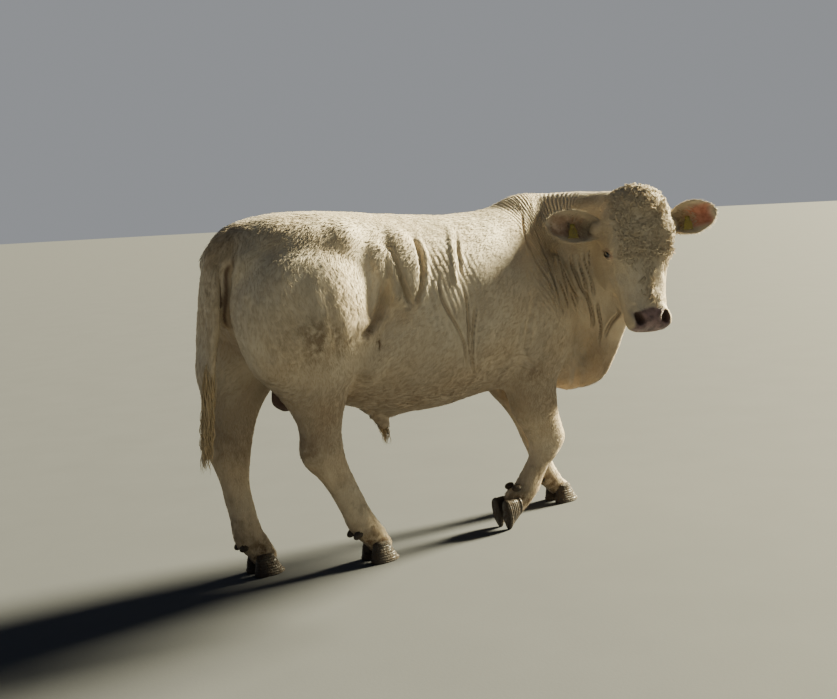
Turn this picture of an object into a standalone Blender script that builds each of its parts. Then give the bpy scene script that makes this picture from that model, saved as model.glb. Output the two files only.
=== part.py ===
"""Charolais bull, life size, walking with its head turned to its right: a still museum model.

Frame: +X from the tail to the chest, +Y the bull's left, +Z up, the soles on z = 0.
The stations below are written with the withers near x = 0.5 and the midline of the trunk
on y = 0; ORIGIN then moves the whole bull so that the middle of its box is over 0, 0.
"""
import math
import random

import bmesh
import bpy
import numpy as np
from mathutils import Matrix, Vector
from mathutils.bvhtree import BVHTree

# Driving dimensions, in metres
GAP = 0.0003
ORIGIN = Vector((0.059, -0.185, 0.0))
VOXEL = 0.010
BODY_TRIANGLES = 4600
SEED = 11
RING = 28

# Trunk: x, top, bottom, half width, height where it is widest, squareness of back and belly
TRUNK = [
    (-0.865, 1.270, 1.020, 0.085, 1.17, 2.4, 2.2),
    (-0.800, 1.332, 0.920, 0.165, 1.17, 2.6, 2.2),
    (-0.700, 1.368, 0.800, 0.225, 1.17, 2.9, 2.2),
    (-0.560, 1.386, 0.700, 0.262, 1.15, 3.0, 2.2),
    (-0.420, 1.384, 0.648, 0.272, 1.12, 3.0, 2.2),
    (-0.300, 1.376, 0.606, 0.278, 1.05, 2.9, 2.2),
    (-0.150, 1.362, 0.566, 0.305, 0.95, 2.7, 2.2),
    (0.020, 1.350, 0.556, 0.328, 0.92, 2.5, 2.2),
    (0.200, 1.342, 0.578, 0.330, 0.92, 2.4, 2.2),
    (0.360, 1.350, 0.590, 0.305, 0.92, 2.2, 2.2),
    (0.500, 1.372, 0.586, 0.275, 0.92, 2.0, 2.2),
    (0.620, 1.385, 0.570, 0.245, 0.90, 1.9, 2.2),
    (0.740, 1.340, 0.560, 0.205, 0.88, 2.0, 2.2),
    (0.840, 1.180, 0.590, 0.150, 0.85, 2.0, 2.2),
    (0.900, 1.020, 0.660, 0.070, 0.82, 2.0, 2.0),
]

# Neck: centre x, y, z, half height, half width
NECK = [
    (0.520, 0.000, 1.020, 0.352, 0.215),
    (0.650, -0.040, 1.052, 0.370, 0.195),
    (0.745, -0.110, 1.085, 0.350, 0.175),
    (0.795, -0.200, 1.126, 0.308, 0.162),
    (0.810, -0.290, 1.161, 0.266, 0.156),
    (0.806, -0.380, 1.194, 0.222, 0.150),
    (0.790, -0.460, 1.215, 0.180, 0.137),
    (0.768, -0.520, 1.225, 0.160, 0.118),
]
DEWLAP = [
    (0.780, -0.450, 1.060, 0.075, 0.055),
    (0.804, -0.360, 0.920, 0.090, 0.055),
    (0.828, -0.250, 0.780, 0.100, 0.060),
    (0.828, -0.140, 0.665, 0.105, 0.072),
    (0.750, -0.050, 0.620, 0.090, 0.080),
]

# Head: where the hair of the poll is highest, and how the face is turned
HEAD_TOP = Vector((0.741, -0.530, 1.417))
HEADING = math.radians(248.0)
FACE_SLOPE = math.radians(80.0)
HEAD_ROLL = math.radians(-1.2)
HEAD_SCALE = 0.997
# along the face, half width, face line, line of nape and jaw
HEAD = [
    (0.006, 0.050, 0.040, -0.040),
    (0.030, 0.098, 0.058, -0.085),
    (0.070, 0.128, 0.072, -0.125),
    (0.120, 0.142, 0.080, -0.155),
    (0.180, 0.146, 0.080, -0.175),
    (0.235, 0.141, 0.075, -0.192),
    (0.280, 0.131, 0.068, -0.206),
    (0.330, 0.120, 0.064, -0.210),
    (0.380, 0.112, 0.062, -0.206),
    (0.430, 0.102, 0.061, -0.184),
    (0.480, 0.095, 0.063, -0.150),
    (0.525, 0.093, 0.066, -0.104),
    (0.552, 0.093, 0.062, -0.088),
    (0.574, 0.083, 0.046, -0.076),
    (0.588, 0.056, 0.016, -0.054),
]
# Eye: radius, place of its surface along and out of the face, how far it stands out, lids
EYE_RADIUS = 0.0205
EYE_AT = (0.268, 0.000)
EYE_PROUD = 0.009
LID = 0.0042
EYE_OPENING = (0.0185, 0.0105)
# Mouth: the middle of its plane, how deep the line runs, and the lips beside it
MOUTH_AT = (0.583, 0.000)
MOUTH_RUN = (-0.100, -0.075)
MOUTH_DEPTH = 0.010
LIP_RADIUS = 0.008
NOSTRIL_AT = (0.535, 0.056, 0.058)
WHORL = (0.142, -0.023)
CURL = (0.033, 0.026, 0.020)
EAR_ROOT = (0.165, 0.112, -0.035)
EAR_LENGTH = 0.262
EAR_WIDTH = 0.136
TAG_ALONG = {"right": 0.58, "left": 0.48}
TAG_WIDTH = 0.044
TAG_HEIGHT = 0.058
TAG_THICKNESS = 0.002

# Legs: height, front, back, y, half width
NEAR_HIND = [
    (1.270, -0.420, -0.740, -0.130, 0.110),
    (1.180, -0.340, -0.820, -0.155, 0.145),
    (1.080, -0.305, -0.862, -0.170, 0.158),
    (0.970, -0.312, -0.870, -0.178, 0.150),
    (0.880, -0.352, -0.842, -0.175, 0.132),
    (0.800, -0.385, -0.795, -0.163, 0.112),
    (0.720, -0.408, -0.712, -0.150, 0.090),
    (0.640, -0.428, -0.648, -0.135, 0.072),
    (0.560, -0.433, -0.612, -0.120, 0.058),
    (0.490, -0.420, -0.616, -0.108, 0.052),
    (0.430, -0.405, -0.592, -0.100, 0.047),
    (0.370, -0.380, -0.530, -0.097, 0.043),
    (0.300, -0.350, -0.482, -0.094, 0.042),
    (0.230, -0.314, -0.442, -0.091, 0.042),
    (0.175, -0.280, -0.418, -0.090, 0.046),
    (0.135, -0.250, -0.396, -0.090, 0.050),
    (0.100, -0.232, -0.362, -0.090, 0.048),
    (0.070, -0.214, -0.330, -0.090, 0.046),
    (0.040, -0.225, -0.310, -0.090, 0.040),
]
FAR_HIND = [
    (1.270, -0.420, -0.740, 0.130, 0.110),
    (1.180, -0.350, -0.820, 0.155, 0.145),
    (1.080, -0.345, -0.838, 0.165, 0.152),
    (0.970, -0.390, -0.850, 0.170, 0.145),
    (0.880, -0.445, -0.862, 0.170, 0.130),
    (0.800, -0.505, -0.880, 0.163, 0.112),
    (0.720, -0.575, -0.876, 0.150, 0.090),
    (0.640, -0.640, -0.876, 0.132, 0.070),
    (0.560, -0.682, -0.880, 0.116, 0.058),
    (0.490, -0.702, -0.886, 0.106, 0.052),
    (0.430, -0.716, -0.866, 0.100, 0.047),
    (0.370, -0.724, -0.846, 0.097, 0.043),
    (0.300, -0.720, -0.834, 0.094, 0.042),
    (0.230, -0.706, -0.820, 0.091, 0.042),
    (0.175, -0.688, -0.812, 0.090, 0.046),
    (0.130, -0.664, -0.802, 0.090, 0.050),
    (0.100, -0.650, -0.778, 0.090, 0.048),
    (0.070, -0.634, -0.750, 0.090, 0.046),
    (0.040, -0.644, -0.730, 0.090, 0.040),
]
NEAR_FORE = [
    (0.920, 0.660, 0.340, -0.180, 0.115),
    (0.800, 0.668, 0.345, -0.190, 0.112),
    (0.700, 0.640, 0.348, -0.178, 0.094),
    (0.620, 0.622, 0.365, -0.155, 0.078),
    (0.540, 0.638, 0.394, -0.135, 0.068),
    (0.470, 0.662, 0.432, -0.120, 0.062),
    (0.405, 0.692, 0.482, -0.108, 0.058),
    (0.350, 0.712, 0.522, -0.100, 0.056),
    (0.295, 0.684, 0.528, -0.095, 0.050),
    (0.245, 0.628, 0.500, -0.092, 0.045),
    (0.195, 0.590, 0.462, -0.090, 0.046),
    (0.155, 0.566, 0.430, -0.090, 0.050),
    (0.120, 0.538, 0.398, -0.090, 0.048),
    (0.085, 0.498, 0.378, -0.090, 0.044),
    (0.055, 0.450, 0.366, -0.090, 0.038),
]
FAR_FORE = [
    (0.920, 0.660, 0.360, 0.180, 0.115),
    (0.800, 0.680, 0.370, 0.190, 0.112),
    (0.700, 0.680, 0.400, 0.178, 0.094),
    (0.620, 0.696, 0.445, 0.155, 0.078),
    (0.540, 0.726, 0.510, 0.135, 0.068),
    (0.470, 0.756, 0.566, 0.120, 0.062),
    (0.405, 0.780, 0.610, 0.108, 0.058),
    (0.350, 0.790, 0.634, 0.100, 0.056),
    (0.295, 0.784, 0.655, 0.095, 0.050),
    (0.240, 0.790, 0.678, 0.092, 0.044),
    (0.190, 0.802, 0.690, 0.090, 0.045),
    (0.140, 0.832, 0.700, 0.090, 0.050),
    (0.105, 0.856, 0.726, 0.090, 0.048),
    (0.070, 0.898, 0.772, 0.090, 0.046),
    (0.040, 0.900, 0.800, 0.090, 0.040),
]

# Round masses that the lofts alone don't give: centre, radii, slope about Y in degrees
MASSES = [
    ((0.510, -0.195, 0.890), (0.200, 0.115, 0.290), 16.0),
    ((0.510, 0.195, 0.890), (0.200, 0.115, 0.290), 16.0),
    ((0.680, -0.125, 0.810), (0.130, 0.105, 0.180), 10.0),
    ((0.680, 0.120, 0.810), (0.130, 0.105, 0.180), 10.0),
    ((0.775, -0.070, 0.668), (0.150, 0.115, 0.125), 0.0),
    ((-0.765, -0.120, 1.205), (0.085, 0.085, 0.085), 0.0),
    ((-0.765, 0.120, 1.205), (0.085, 0.085, 0.085), 0.0),
    ((-0.440, -0.190, 1.245), (0.130, 0.080, 0.100), 0.0),
    ((-0.440, 0.190, 1.245), (0.130, 0.080, 0.100), 0.0),
    ((-0.360, -0.205, 0.880), (0.100, 0.065, 0.160), -20.0),
    ((-0.460, 0.190, 0.910), (0.110, 0.065, 0.150), -20.0),
    ((0.425, -0.090, 0.120), (0.045, 0.040, 0.050), 10.0),
    ((-0.150, 0.000, 0.584), (0.110, 0.055, 0.045), 5.0),
]

TAIL = [
    (-0.720, 0.000, 1.300, 0.048, 0.050),
    (-0.790, 0.000, 1.290, 0.046, 0.050),
    (-0.848, -0.010, 1.245, 0.038, 0.042),
    (-0.882, -0.036, 1.150, 0.030, 0.033),
    (-0.896, -0.046, 1.040, 0.025, 0.029),
    (-0.906, -0.040, 0.920, 0.022, 0.027),
    (-0.914, -0.020, 0.800, 0.020, 0.026),
    (-0.922, -0.004, 0.700, 0.016, 0.020),
    (-0.928, 0.002, 0.600, 0.008, 0.010),
]
SWITCH_TOP = 0.880
SWITCH_TIP = 0.450
SHEATH = [
    (-0.185, 0.000, 0.575, 0.040, 0.040),
    (-0.168, 0.000, 0.545, 0.034, 0.032),
    (-0.158, 0.000, 0.520, 0.026, 0.025),
    (-0.152, 0.000, 0.500, 0.018, 0.018),
]
SHEATH_TIP = 0.458

COLOURS = {
    "coat": (0.74, 0.64, 0.50),
    "coat_dull": (0.66, 0.56, 0.43),
    "horn": (0.075, 0.062, 0.052),
    "eye": (0.012, 0.010, 0.010),
    "skin_dark": (0.16, 0.085, 0.070),
    "tag": (0.82, 0.66, 0.06),
    "switch": (0.62, 0.50, 0.30),
}


def clear_scene():
    """Empty the scene of whatever it opened with."""
    for item in list(bpy.data.objects):
        bpy.data.objects.remove(item, do_unlink=True)


def material(name, colour, roughness):
    """One Principled material for one sub-part."""
    made = bpy.data.materials.new(name)
    made.use_nodes = True
    shader = made.node_tree.nodes["Principled BSDF"]
    shader.inputs["Base Color"].default_value = (*COLOURS[colour], 1.0)
    shader.inputs["Roughness"].default_value = roughness
    shader.inputs["Metallic"].default_value = 0.0
    made.diffuse_color = (*COLOURS[colour], 1.0)
    return made


def mesh_object(name, points, faces):
    """A linked object from points and faces, faces turned outward."""
    mesh = bpy.data.meshes.new(name)
    mesh.from_pydata([tuple(map(float, p)) for p in points], [], faces)
    form = bmesh.new()
    form.from_mesh(mesh)
    bmesh.ops.recalc_face_normals(form, faces=form.faces)
    bmesh.ops.triangulate(form, faces=form.faces[:])
    form.to_mesh(mesh)
    form.free()
    item = bpy.data.objects.new(name, mesh)
    bpy.context.collection.objects.link(item)
    return item


def discard(item):
    """Remove an object and its mesh."""
    mesh = item.data
    bpy.data.objects.remove(item, do_unlink=True)
    bpy.data.meshes.remove(mesh)


def bake(item):
    """Give an object its evaluated mesh in place of its modifiers."""
    graph = bpy.context.evaluated_depsgraph_get()
    mesh = bpy.data.meshes.new_from_object(item.evaluated_get(graph))
    item.modifiers.clear()
    old = item.data
    item.data = mesh
    bpy.data.meshes.remove(old)


def smooth_rows(rows, count, keys=3):
    """Read rows of numbers along a smooth curve through them, evenly by the first keys columns."""
    rows = np.array(rows, float)
    gaps = np.linalg.norm(np.diff(rows[:, :keys], axis=0), axis=1)
    at = np.concatenate(((0.0,), np.cumsum(gaps)))
    slopes = np.gradient(rows, at, axis=0)
    new = np.linspace(0.0, at[-1], count)
    i = np.clip(np.searchsorted(at, new, side="right") - 1, 0, len(at) - 2)
    span = (at[i + 1] - at[i])[:, None]
    u = (new - at[i])[:, None] / span
    start = (2 * u**3 - 3 * u**2 + 1) * rows[i] + (u**3 - 2 * u**2 + u) * span * slopes[i]
    end = (-2 * u**3 + 3 * u**2) * rows[i + 1] + (u**3 - u**2) * span * slopes[i + 1]
    return start + end


def ring_mesh(rings):
    """Close a list of rings of points into one body, each end with a fan."""
    sides = len(rings[0])
    points = [p for ring in rings for p in ring]
    faces = []
    for r in range(len(rings) - 1):
        for s in range(sides):
            t = (s + 1) % sides
            faces.append((r * sides + s, r * sides + t, (r + 1) * sides + t, (r + 1) * sides + s))
    for r, turn in ((0, -1), (len(rings) - 1, 1)):
        middle = len(points)
        points.append(np.mean(rings[r], axis=0))
        for s in range(sides):
            edge = (r * sides + s, r * sides + (s + 1) % sides)
            faces.append((middle, *edge[::turn]))
    return points, faces


def oval(sides, power_up=2.0, power_down=2.0):
    """Across and up values of a rounded ring, squarer as the powers grow."""
    angles = np.linspace(0.0, math.tau, sides, endpoint=False)
    across = np.cos(angles)
    up = np.sin(angles)
    power = np.where(up > 0, power_up, power_down)
    wide = np.sign(across) * np.abs(across) ** (2.0 / power)
    high = np.sign(up) * np.abs(up) ** (2.0 / power)
    return wide, high


def trunk_mesh():
    """The trunk as upright rings along x."""
    rings = []
    for x, top, bottom, half, widest, back, belly in smooth_rows(TRUNK, 44, 1):
        wide, high = oval(RING + 8, back, belly)
        level = widest + np.where(high > 0, high * (top - widest), high * (widest - bottom))
        rings.append(np.stack((np.full_like(wide, x), wide * half, level), -1))
    return ring_mesh(rings)


def path_mesh(stations, count, sides=RING, upright=True):
    """A bent form along a path of x, y, z, half height, half width."""
    rows = smooth_rows(stations, count)
    along = np.gradient(rows[:, :3], axis=0)
    along /= np.linalg.norm(along, axis=1)[:, None]
    rings = []
    for row, way in zip(rows, along):
        up = np.array((0.0, 0.0, 1.0)) if upright else np.array((1.0, 0.0, 0.0))
        across = np.cross(way, up)
        across /= np.linalg.norm(across)
        up = np.cross(across, way)
        wide, high = oval(sides)
        rings.append(row[:3] + np.outer(wide * row[4], across) + np.outer(high * row[3], up))
    return ring_mesh(rings)


def leg_mesh(stations, count=40):
    """A leg as level rings from its top to its pastern."""
    rings = []
    for z, front, back, y, half in smooth_rows(stations, count, 2):
        wide, high = oval(RING, 2.3, 2.3)
        x = (front + back) / 2 + wide * (front - back) / 2
        rings.append(np.stack((x, y + high * half, np.full_like(x, z)), -1))
    return ring_mesh(rings)


def ball_mesh(centre, radii, slope=0.0, frame=None, rings=12, sides=18):
    """A closed ellipsoid, turned about Y by slope degrees or set in a frame."""
    turn = frame if frame is not None else Matrix.Rotation(math.radians(slope), 3, "Y")
    turn = np.array(turn)
    rows = []
    for r in range(1, rings):
        polar = math.pi * r / rings
        around = np.linspace(0.0, math.tau, sides, endpoint=False)
        unit = np.stack((np.sin(polar) * np.cos(around), np.sin(polar) * np.sin(around),
                         np.full_like(around, math.cos(polar))), -1)
        rows.append((unit * np.array(radii)) @ turn.T + np.array(centre))
    points, faces = ring_mesh(rows)
    pole = turn @ np.array((0.0, 0.0, radii[2]))
    points[-2] = np.array(centre) + pole
    points[-1] = np.array(centre) - pole
    return points, faces


def head_axes():
    """Unit vectors down the face, to the bull's left, and out of the face."""
    down = Vector((math.cos(HEADING) * math.cos(FACE_SLOPE),
                   math.sin(HEADING) * math.cos(FACE_SLOPE), -math.sin(FACE_SLOPE)))
    left = Vector((-math.sin(HEADING), math.cos(HEADING), 0.0))
    out = Vector((math.cos(HEADING) * math.sin(FACE_SLOPE),
                  math.sin(HEADING) * math.sin(FACE_SLOPE), math.cos(FACE_SLOPE)))
    tipped = left * math.cos(HEAD_ROLL) + down * math.sin(HEAD_ROLL)
    down = down * math.cos(HEAD_ROLL) - left * math.sin(HEAD_ROLL)
    return down, tipped, out


def on_head(along, across, out_by):
    """The place of a point given along the face, to the left, and out of the face."""
    down, left, out = head_axes()
    return HEAD_TOP + (down * along + left * across + out * out_by) * HEAD_SCALE


def head_mesh():
    """The head as rings across the line of the face."""
    down, left, out = (np.array(v) for v in head_axes())
    rings = []
    for along, half, face, jaw in smooth_rows(HEAD, 40, 1):
        wide, high = oval(RING, 2.6, 2.1)
        level = face * 0.1 + jaw * 0.1
        depth = np.where(high > 0, high * (face - level), high * (level - jaw)) + level
        bridge = 0.52 * math.exp(-((along - 0.42) / 0.085) ** 2)
        throat = 0.12 if along < 0.36 else min(0.30, 0.12 + (along - 0.36) * 2.0)
        narrow = np.where(high < 0, 1.0 + throat * high, 1.0 - bridge * np.abs(high) ** 1.5)
        centre = np.array(HEAD_TOP) + down * along * HEAD_SCALE
        rings.append(centre + HEAD_SCALE * (np.outer(wide * narrow * half, left) + np.outer(depth, out)))
    return ring_mesh(rings)


def head_masses():
    """Cheeks, orbits, poll and muzzle, which round the head out."""
    frame = Matrix(head_axes()).transposed()
    made = []
    for side in (-1, 1):
        made.append(ball_mesh(on_head(0.290, side * 0.092, -0.105), (0.125, 0.050, 0.100), frame=frame))
        made.append(ball_mesh(on_head(0.252, side * 0.104, 0.010), (0.056, 0.034, 0.042), frame=frame))
        made.append(ball_mesh(on_head(0.545, side * 0.050, 0.030), (0.045, 0.044, 0.036), frame=frame))
    made.append(ball_mesh(on_head(0.085, 0.0, 0.0), (0.085, 0.118, 0.092), frame=frame))
    made.append(ball_mesh(on_head(0.540, 0.0, -0.056), (0.046, 0.058, 0.034), frame=frame))
    return made


def join_meshes(meshes):
    """One list of points and faces from several closed meshes."""
    points, faces = [], []
    for mesh_points, mesh_faces in meshes:
        start = len(points)
        points.extend(mesh_points)
        faces.extend(tuple(i + start for i in face) for face in mesh_faces)
    return points, faces


def body_form():
    """The flesh of the whole bull as one closed surface."""
    meshes = [trunk_mesh(), path_mesh(NECK, 24), path_mesh(DEWLAP, 20), head_mesh()]
    meshes += [leg_mesh(s) for s in (NEAR_HIND, FAR_HIND, NEAR_FORE, FAR_FORE)]
    meshes += [ball_mesh(*mass) for mass in MASSES]
    meshes += head_masses()
    body = mesh_object("body", *join_meshes(meshes))
    remesh = body.modifiers.new("union", "REMESH")
    remesh.mode = "VOXEL"
    remesh.voxel_size = VOXEL
    bake(body)
    soften(body)
    return body


def soften(body):
    """Blend the masses into each other, less on the head and the feet, then thin the mesh."""
    centre = on_head(0.30, 0.0, 0.0)
    broad = body.vertex_groups.new(name="broad")
    for vertex in body.data.vertices:
        near_head = max(0.0, 1.0 - (vertex.co - centre).length / 0.42)
        near_foot = max(0.0, 1.0 - vertex.co.z / 0.55)
        care = min(1.0, 2.0 * max(near_head, near_foot))
        broad.add((vertex.index,), 1.0 - 0.8 * care, "REPLACE")
    smooth = body.modifiers.new("smooth", "SMOOTH")
    smooth.factor = 0.5
    smooth.iterations = 40
    smooth.vertex_group = "broad"
    thin = body.modifiers.new("thin", "DECIMATE")
    thin.use_collapse_triangulate = True
    thin.ratio = BODY_TRIANGLES / (2.0 * len(body.data.polygons))
    bake(body)
    body.vertex_groups.clear()


def region(name, planes, size=4.0):
    """A convex cutter: what lies behind every plane of point and outward direction."""
    form = bmesh.new()
    bmesh.ops.create_cube(form, size=size)
    for point, way in planes:
        geometry = form.verts[:] + form.edges[:] + form.faces[:]
        bmesh.ops.bisect_plane(form, geom=geometry, plane_co=Vector(point), plane_no=Vector(way),
                               clear_outer=True)
        edges = [e for e in form.edges if e.is_boundary]
        if edges:
            bmesh.ops.holes_fill(form, edges=edges, sides=0)
    bmesh.ops.triangulate(form, faces=form.faces[:])
    bmesh.ops.recalc_face_normals(form, faces=form.faces)
    mesh = bpy.data.meshes.new(name)
    form.to_mesh(mesh)
    form.free()
    item = bpy.data.objects.new(name, mesh)
    bpy.context.collection.objects.link(item)
    return item


def boolean(item, cutter, operation, solver="MANIFOLD"):
    """Join, cut or keep the shared part of two bodies, and apply it."""
    step = item.modifiers.new("boolean", "BOOLEAN")
    step.operation = operation
    step.object = cutter
    step.solver = solver
    bake(item)


def fuse(item, pieces, solver="MANIFOLD"):
    """Union a body with closed pieces in one step and keep the largest surface."""
    group = bpy.data.collections.new("pieces")
    bpy.context.scene.collection.children.link(group)
    for piece in pieces:
        group.objects.link(piece)
    step = item.modifiers.new("union", "BOOLEAN")
    step.operation = "UNION"
    step.operand_type = "COLLECTION"
    step.collection = group
    step.solver = solver
    bake(item)
    bpy.data.collections.remove(group)
    for piece in pieces:
        discard(piece)
    keep_largest(item)


def keep_largest(item):
    """Drop every loose surface but the one with the most volume."""
    form = bmesh.new()
    form.from_mesh(item.data)
    bmesh.ops.triangulate(form, faces=form.faces[:])
    waiting = set(form.faces)
    shells = []
    while waiting:
        stack = [waiting.pop()]
        shell = list(stack)
        while stack:
            for edge in stack.pop().edges:
                for face in edge.link_faces:
                    if face in waiting:
                        waiting.remove(face)
                        stack.append(face)
                        shell.append(face)
        volume = sum(f.verts[0].co.dot(f.verts[1].co.cross(f.verts[2].co)) for f in shell) / 6.0
        shells.append((volume, shell))
    shells.sort(key=lambda pair: pair[0], reverse=True)
    scraps = [face for _, shell in shells[1:] for face in shell]
    bmesh.ops.delete(form, geom=scraps, context="FACES")
    form.to_mesh(item.data)
    form.free()


def copy_of(item, name):
    """A linked copy of an object with its own mesh."""
    twin = item.copy()
    twin.data = item.data.copy()
    twin.name = name
    bpy.context.collection.objects.link(twin)
    return twin


def swollen(item, by=GAP):
    """A copy of a body grown by a small distance, to cut its seat in a neighbour."""
    twin = copy_of(item, item.name + "_seat")
    form = bmesh.new()
    form.from_mesh(twin.data)
    form.normal_update()
    for vertex in form.verts:
        vertex.co += vertex.normal * by * min(vertex.calc_shell_factor(), 2.0)
    form.to_mesh(twin.data)
    form.free()
    return twin


def seat(host, piece, by=GAP):
    """Cut a piece's seat, with the gap, out of the body that carries it."""
    cutter = swollen(piece, by)
    boolean(host, cutter, "DIFFERENCE")
    discard(cutter)
    keep_largest(host)


def cut(host, cutter):
    """Take a cutter's shape out of a body and remove the cutter."""
    boolean(host, cutter, "DIFFERENCE")
    discard(cutter)
    keep_largest(host)


def surface_of(item):
    """A search tree over the faces of a body, to set smaller forms on its surface."""
    form = bmesh.new()
    form.from_mesh(item.data)
    tree = BVHTree.FromBMesh(form)
    form.free()
    return tree


def offset(planes, by):
    """The same planes moved outward."""
    return [(Vector(point) + Vector(way).normalized() * by, way) for point, way in planes]


def take(body, name, planes):
    """Part a node from the body by planes that bound it, leaving the gap behind."""
    node = copy_of(body, name)
    inside = region(name + "_inside", planes)
    boolean(node, inside, "INTERSECT")
    discard(inside)
    keep_largest(node)
    beyond = region(name + "_beyond", offset(planes, GAP))
    boolean(body, beyond, "DIFFERENCE")
    discard(beyond)
    keep_largest(body)
    return node


def halve(item, name, point, way):
    """Cut a body by one plane: the part ahead of it becomes a new node."""
    way = Vector(way).normalized()
    ahead = copy_of(item, name)
    for part, sign in ((item, 1), (ahead, -1)):
        cutter = region("half", [(Vector(point) - way * sign * GAP / 2, way * sign)])
        boolean(part, cutter, "INTERSECT")
        discard(cutter)
        keep_largest(part)
    return ahead


def leg_nodes(body):
    """Part the four legs from the body, then each at its middle joint and at its fetlock."""
    legs = {
        "hind_right": ([((-0.5, 0.0, 0.61), (0.0, 0.70, 0.71)), ((0.0, -GAP, 0.0), (0, 1, 0)),
                        ((-0.33, 0.0, 0.75), (1.0, 0.0, 0.187))],
                       ((-0.51, -0.1, 0.430), (0.25, 0.0, -1.0)), ((-0.350, -0.09, 0.185), (0.5, 0.0, -0.87))),
        "hind_left": ([((-0.5, 0.0, 0.61), (0.0, -0.70, 0.71)), ((0.0, GAP, 0.0), (0, -1, 0)),
                       ((-0.36, 0.0, 0.60), (1.0, 0.0, 0.0))],
                      ((-0.79, 0.1, 0.430), (0.10, 0.0, -1.0)), ((-0.752, 0.09, 0.185), (0.25, 0.0, -0.97))),
        "fore_right": ([((0.5, -0.05, 0.58), (0.0, 0.60, 0.80)), ((0.0, -0.03, 0.0), (0, 1, 0)),
                        ((0.80, 0.0, 0.5), (1, 0, 0)), ((0.26, 0.0, 0.5), (-1, 0, 0))],
                       ((0.61, -0.1, 0.350), (0.0, 0.0, -1.0)), ((0.512, -0.09, 0.180), (-0.55, 0.0, -0.83))),
        "fore_left": ([((0.5, 0.05, 0.58), (0.0, -0.60, 0.80)), ((0.0, 0.03, 0.0), (0, -1, 0)),
                       ((0.98, 0.0, 0.5), (1, 0, 0)), ((0.30, 0.0, 0.5), (-1, 0, 0)),
                       ((0.80, 0.0, 0.50), (0.45, 0.0, 0.9))],
                      ((0.71, 0.1, 0.350), (0.0, 0.0, -1.0)), ((0.750, 0.09, 0.180), (0.15, 0.0, -0.98))),
    }
    made = []
    for name, (bounds, middle, fetlock) in legs.items():
        upper = take(body, "leg_" + name + "_upper", bounds)
        lower = halve(upper, "leg_" + name + "_lower", *middle)
        pastern = halve(lower, "leg_" + name + "_pastern", *fetlock)
        made += [upper, lower, pastern]
    return made


def head_and_neck(body):
    """Part the head and the neck from the body."""
    down, left, out = head_axes()
    behind = -(down * 0.344 + out * 0.939)
    head = take(body, "head", [(on_head(0.03, 0.0, -0.098), behind),
                               ((0.56, -0.37, 1.10), (-0.35, 0.93, -0.10))])
    neck = take(body, "neck", [((0.70, 0.0, 1.05), (-0.93, 0.20, -0.30))])
    return head, neck


def lock_mesh(path, widths, flat, thickness):
    """A flat lock of hair along a path of points, its broad side facing the direction flat."""
    path = np.array(path)
    along = np.gradient(path, axis=0)
    rings = []
    for point, way, width in zip(path, along, widths):
        across = np.cross(way, flat)
        across /= np.linalg.norm(across)
        depth = np.cross(across, way)
        depth *= thickness * (0.35 + 0.65 * width / max(widths)) / np.linalg.norm(depth)
        side = across * width / 2
        rings.append([point + side, point + depth / 2, point - side, point - depth / 2])
    return ring_mesh(rings)


def hanging_locks(count, roots, tips, spread, width, draw):
    """Locks that hang round a line, rooted at heights between two and ending at others."""
    made = []
    for n in range(count):
        share = (n + 0.5) / count
        turn = n * math.radians(137.5) + draw.uniform(-0.2, 0.2)
        way = np.array((math.cos(turn), 0.8 * math.sin(turn), 0.0))
        top = np.array(roots[0]) * (1 - share) + np.array(roots[1]) * share
        low = np.array(tips[0]) * (1 - share) + np.array(tips[1]) * share
        low[2] += draw.uniform(-0.012, 0.02)
        curl = np.array((-way[1], way[0], 0.0)) * draw.uniform(0.2, 0.7) * spread
        path = []
        for at, out, aside in ((0.0, 0.10, 0.0), (0.3, 0.90, 0.05), (0.66, 1.0, 0.45), (1.0, 0.75, 1.0)):
            path.append(top * (1 - at) + low * at + way * out * spread + curl * aside)
        size = width * draw.uniform(0.85, 1.15)
        widths = [size * part for part in (0.7, 1.0, 0.8, 0.12)]
        made.append(mesh_object("lock", *lock_mesh(path, widths, way, 0.32 * width)))
    return made


def tail_nodes(hosts):
    """The tail, which hangs behind the buttocks with its root sunk in the rump, and its switch."""
    tail = mesh_object("tail", *path_mesh(TAIL, 24, 12, upright=False))
    switch = halve(tail, "tail_switch", (-0.9, 0.0, SWITCH_TOP), (0.0, 0.0, -1.0))
    fuse(switch, hanging_locks(11, ((-0.910, -0.030, 0.858), (-0.927, 0.002, 0.630)),
                               ((-0.932, -0.008, 0.640), (-0.946, 0.000, SWITCH_TIP)), 0.028, 0.034,
                               random.Random(SEED)))
    for host in hosts:
        seat(host, tail)
    return [tail, switch]


def scrotum_node(hosts):
    """The scrotum, hung between the thighs and seated in what it meets."""
    scrotum = mesh_object("scrotum", *path_mesh([(-0.600, 0.0, 0.800, 0.030, 0.030),
                                              (-0.600, 0.0, 0.755, 0.040, 0.040),
                                              (-0.598, 0.0, 0.705, 0.055, 0.052),
                                              (-0.594, 0.0, 0.660, 0.052, 0.050),
                                              (-0.590, 0.0, 0.628, 0.020, 0.020)], 9, 12, upright=False))
    for host in hosts:
        seat(host, scrotum)
    return scrotum


def sheath_node(body):
    """The end of the sheath under the belly, with the tuft that hangs from it."""
    sheath = mesh_object("sheath", *path_mesh(SHEATH, 7, 12, upright=False))
    fuse(sheath, hanging_locks(4, ((-0.160, 0.0, 0.528), (-0.156, 0.0, 0.512)),
                               ((-0.152, 0.0, 0.478), (-0.147, 0.0, SHEATH_TIP)), 0.010, 0.015,
                               random.Random(SEED + 1)))
    seat(body, sheath)
    return sheath


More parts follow.
